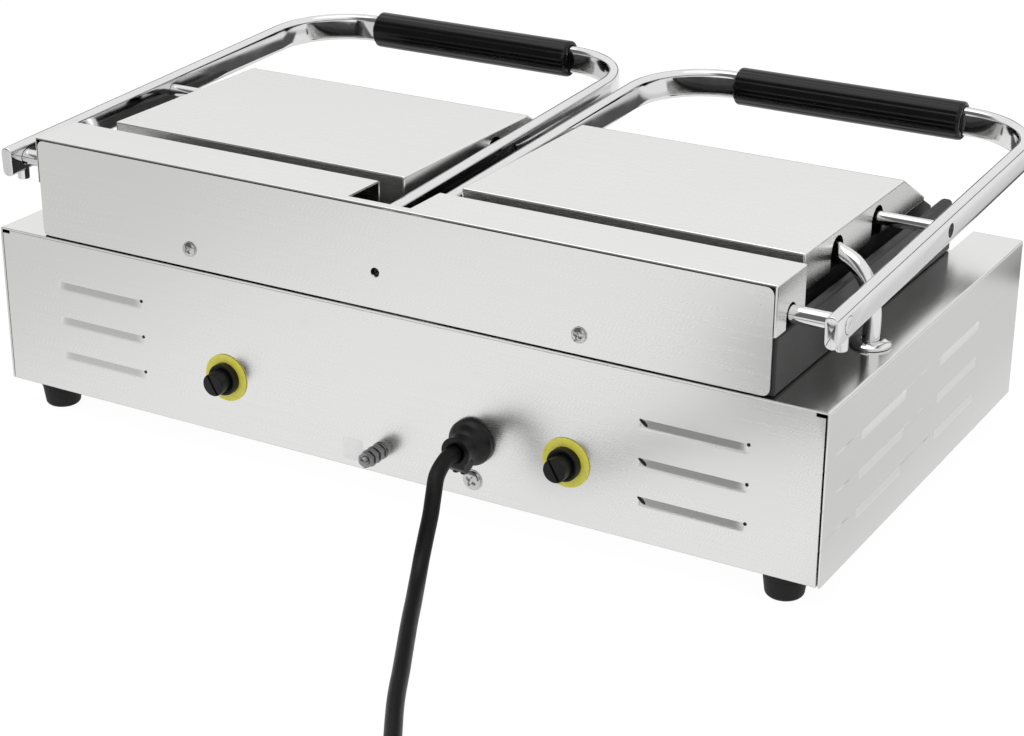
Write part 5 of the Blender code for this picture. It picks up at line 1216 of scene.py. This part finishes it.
def make_stud():
    """The earth stud: a threaded rod whose radius is a fine sine wave along it, with nuts and washers."""
    length = corners_of("earth_stud")[1][1] - REAR
    along = np.linspace(-STUD_INSIDE, length - 1.2 * MILLI, 240)
    thread = STUD_RADIUS + STUD_THREAD * np.sin(along / STUD_PITCH * TURN)
    tip = (0, length) + mm((2.0, -0.3), (1.2, 0), (0, 0))
    profile = chain([(0, along[0])], points_of(thread, along), tip)
    pieces = [turned(profile, STUD_PLACE, BACK, 40, angle=60)]
    pieces += [hexagon(STUD_NUT_WIDTH, start, height, STUD_PLACE) for start, height in STUD_NUTS]
    pieces += [lathe(((2.9, start), (5.4, start), (5.4, start + 1.0), (2.9, start + 1.0)), (0.25,),
                     STUD_PLACE, BACK) for start in STUD_WASHERS]
    add("earth_terminal", joined(pieces), "earth_stud")


def film(name, outline, x, z, finish="black_plastic"):
    """A thin patch on the rear panel, closed by its own edge, with an outline round a place."""
    lifts = mm(0.02, 0.02, 0.10, 0.12, 0.12)[:, None]
    shrink = np.array((0, 1, 1, 0.985, 0))[:, None]
    points = points_of(x + outline[:, 0] * shrink, REAR + lifts, z + outline[:, 1] * shrink)
    add(name, tidy(grid(points, wrap=True), 40), like="rear_panel", finish=finish)


def make_films():
    """The bare white square beside the stud, and painted shade on the rear louvres.

    A small round patch of painted shade stands at one end of each slit, where it is pierced, and a
    slanted patch of painted shade at one end of each louvre in the first group.
    """
    film("blank_label", box_section(*mm(7, 7, 1.2)), 18 * MILLI, FLOOR + 11.2 * MILLI, "white_film")
    # Black patches at the louvres' ends: painted shade where the slits are pierced
    shade_dot = circle_section(1.1 * MILLI, 20)
    lean = math.radians(38)
    turn = np.array(((math.cos(lean), math.sin(lean)), (-math.sin(lean), math.cos(lean))))
    mark = (circle_section(1.0, 24) * mm(3.0, 0.8)) @ turn
    half = LOUVRE_LENGTH / 2
    for row, height in enumerate(LOUVRE_HEIGHTS):
        top = height + LOUVRE_HEIGHT / 2 - 0.4 * MILLI
        for column, middle in enumerate(REAR_LOUVRES):
            film(f"slit_end_{column}_{row}", shade_dot, middle - half, top)
        film(f"painted_shade_slit_corner_{row}", mark, REAR_LOUVRES[0] + half - 2.4 * MILLI, top - 1.8 * MILLI)


DIAL_MARKS = 7
DIAL_STEP = math.radians(45)
DIAL_RADIUS = 27.5 * MILLI
DIAL_NUMBER_RADIUS = 33.1 * MILLI
DIAL_NUMBER_SIZE = 5.2 * MILLI
DIAL_PRINT = 0.04 * MILLI


def make_knob(label):
    """The knob with a white pointer line along its bar, and the plain printed scale round it.

    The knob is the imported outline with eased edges. The scale has a bar at each step of 45
    degrees and numbers by fifties.
    """
    knob = f"{label}_knob"
    refined(knob, f"{label}_dial_knob", edge=0.45 * MILLI, angle=30)
    front = corners_of(knob)[0][1]
    x, _, z = middle_of(knob)
    line = block((x, front - 0.02 * MILLI, z + 11 * MILLI), mm(0.7, 0.15, 6.5))
    rounded_edges(add(f"{label}_pointer_line", line, like=knob, finish="white_film"), 0.1 * MILLI)
    face = FRONT - 0.05 * MILLI
    meshes = []
    for mark in range(DIAL_MARKS):
        turn = mark * DIAL_STEP
        spin = Matrix.Rotation(turn, 4, "Y") @ Matrix.Translation((0, 0, DIAL_RADIUS))
        meshes.append(block((x, face, z), (0.35 * MILLI, DIAL_PRINT, 1.6 * MILLI), spin))
        curve = bpy.data.curves.new("number", "FONT")
        curve.body = str(50 * mark)
        curve.size = DIAL_NUMBER_SIZE
        curve.align_x = "CENTER"
        curve.align_y = "CENTER"
        curve.extrude = DIAL_PRINT
        text = linked("number", curve)
        number = final_mesh(text)
        bpy.data.objects.remove(text, do_unlink=True)
        place = (x + DIAL_NUMBER_RADIUS * math.sin(turn), face, z + DIAL_NUMBER_RADIUS * math.cos(turn))
        number.transform(Matrix.Translation(place) @ Matrix.Rotation(QUARTER, 4, "X"))
        meshes.append(number)
    add(f"{label}_dial_scale", joined(meshes), like="front_panel", finish="black_print_and_shade")


def make_lamp(label):
    """Heating lamp: a black bezel ring round a domed orange lens."""
    node = f"{label}_heating_lamp"
    place = middle_of(node, FRONT)
    lens = lathe(((0, -14), (4.4, -14), (4.4, 2.2), (3.6, 4.0), (0, 5.2)), (0, 0.3, 0.6, 1.2, 0),
                 place, -BACK, 48, steps=8)
    add(f"{label}_lamp_lens", lens, node)
    bezel = lathe(((4.5, 0.3), (6.5, 0.3), (6.5, 1.2), (5.4, 2.2), (4.5, 2.0)), (0.1, 0.1, 0.4, 0.4, 0.1),
                  place, -BACK)
    add(f"{label}_lamp_bezel", bezel, like=node, finish="black_plastic")


def dress_nodes():
    """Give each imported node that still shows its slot's finish."""
    for name, node in NODES.items():
        node.data.materials.clear()
        node.data.materials.append(FINISHES[SLOT_OF[name]])


set_camera()
plug_piece = make_plug()
make_cord()
set_stage()
set_room()
set_lamp()
dress_nodes()
make_wrapper()
make_rear_panel()
make_feet()
CASTING = {"edge": 0.7 * MILLI, "angle": 20}
refined("front_panel", "front_sheet")
refined("bottom_plate", "bottom_sheet")
refined("griddle_plate", "griddle_casting", **CASTING)
refined("hinge_housing", "housing_sheet")
refined("housing_cover", "housing_back")
refined("drip_tray", "tray_sheet")
for label, side in SIDES.items():
    refined(f"{label}_lid_cover", f"{label}_cover_sheet")
    refined(f"{label}_lid_plate", f"{label}_plate_casting", **CASTING)
    refined(f"{label}_bearing_bracket", f"{label}_bracket", edge=0.4 * MILLI)
    make_handle(label, side)
    make_grip(label, side)
    make_conduit(label, side)
    make_spring(label, side)
    make_knob(label)
    make_lamp(label)
make_resets()
make_gland()
make_panel_screws()
make_stud()
make_films()

bpy.context.scene.view_settings.view_transform = "Standard"
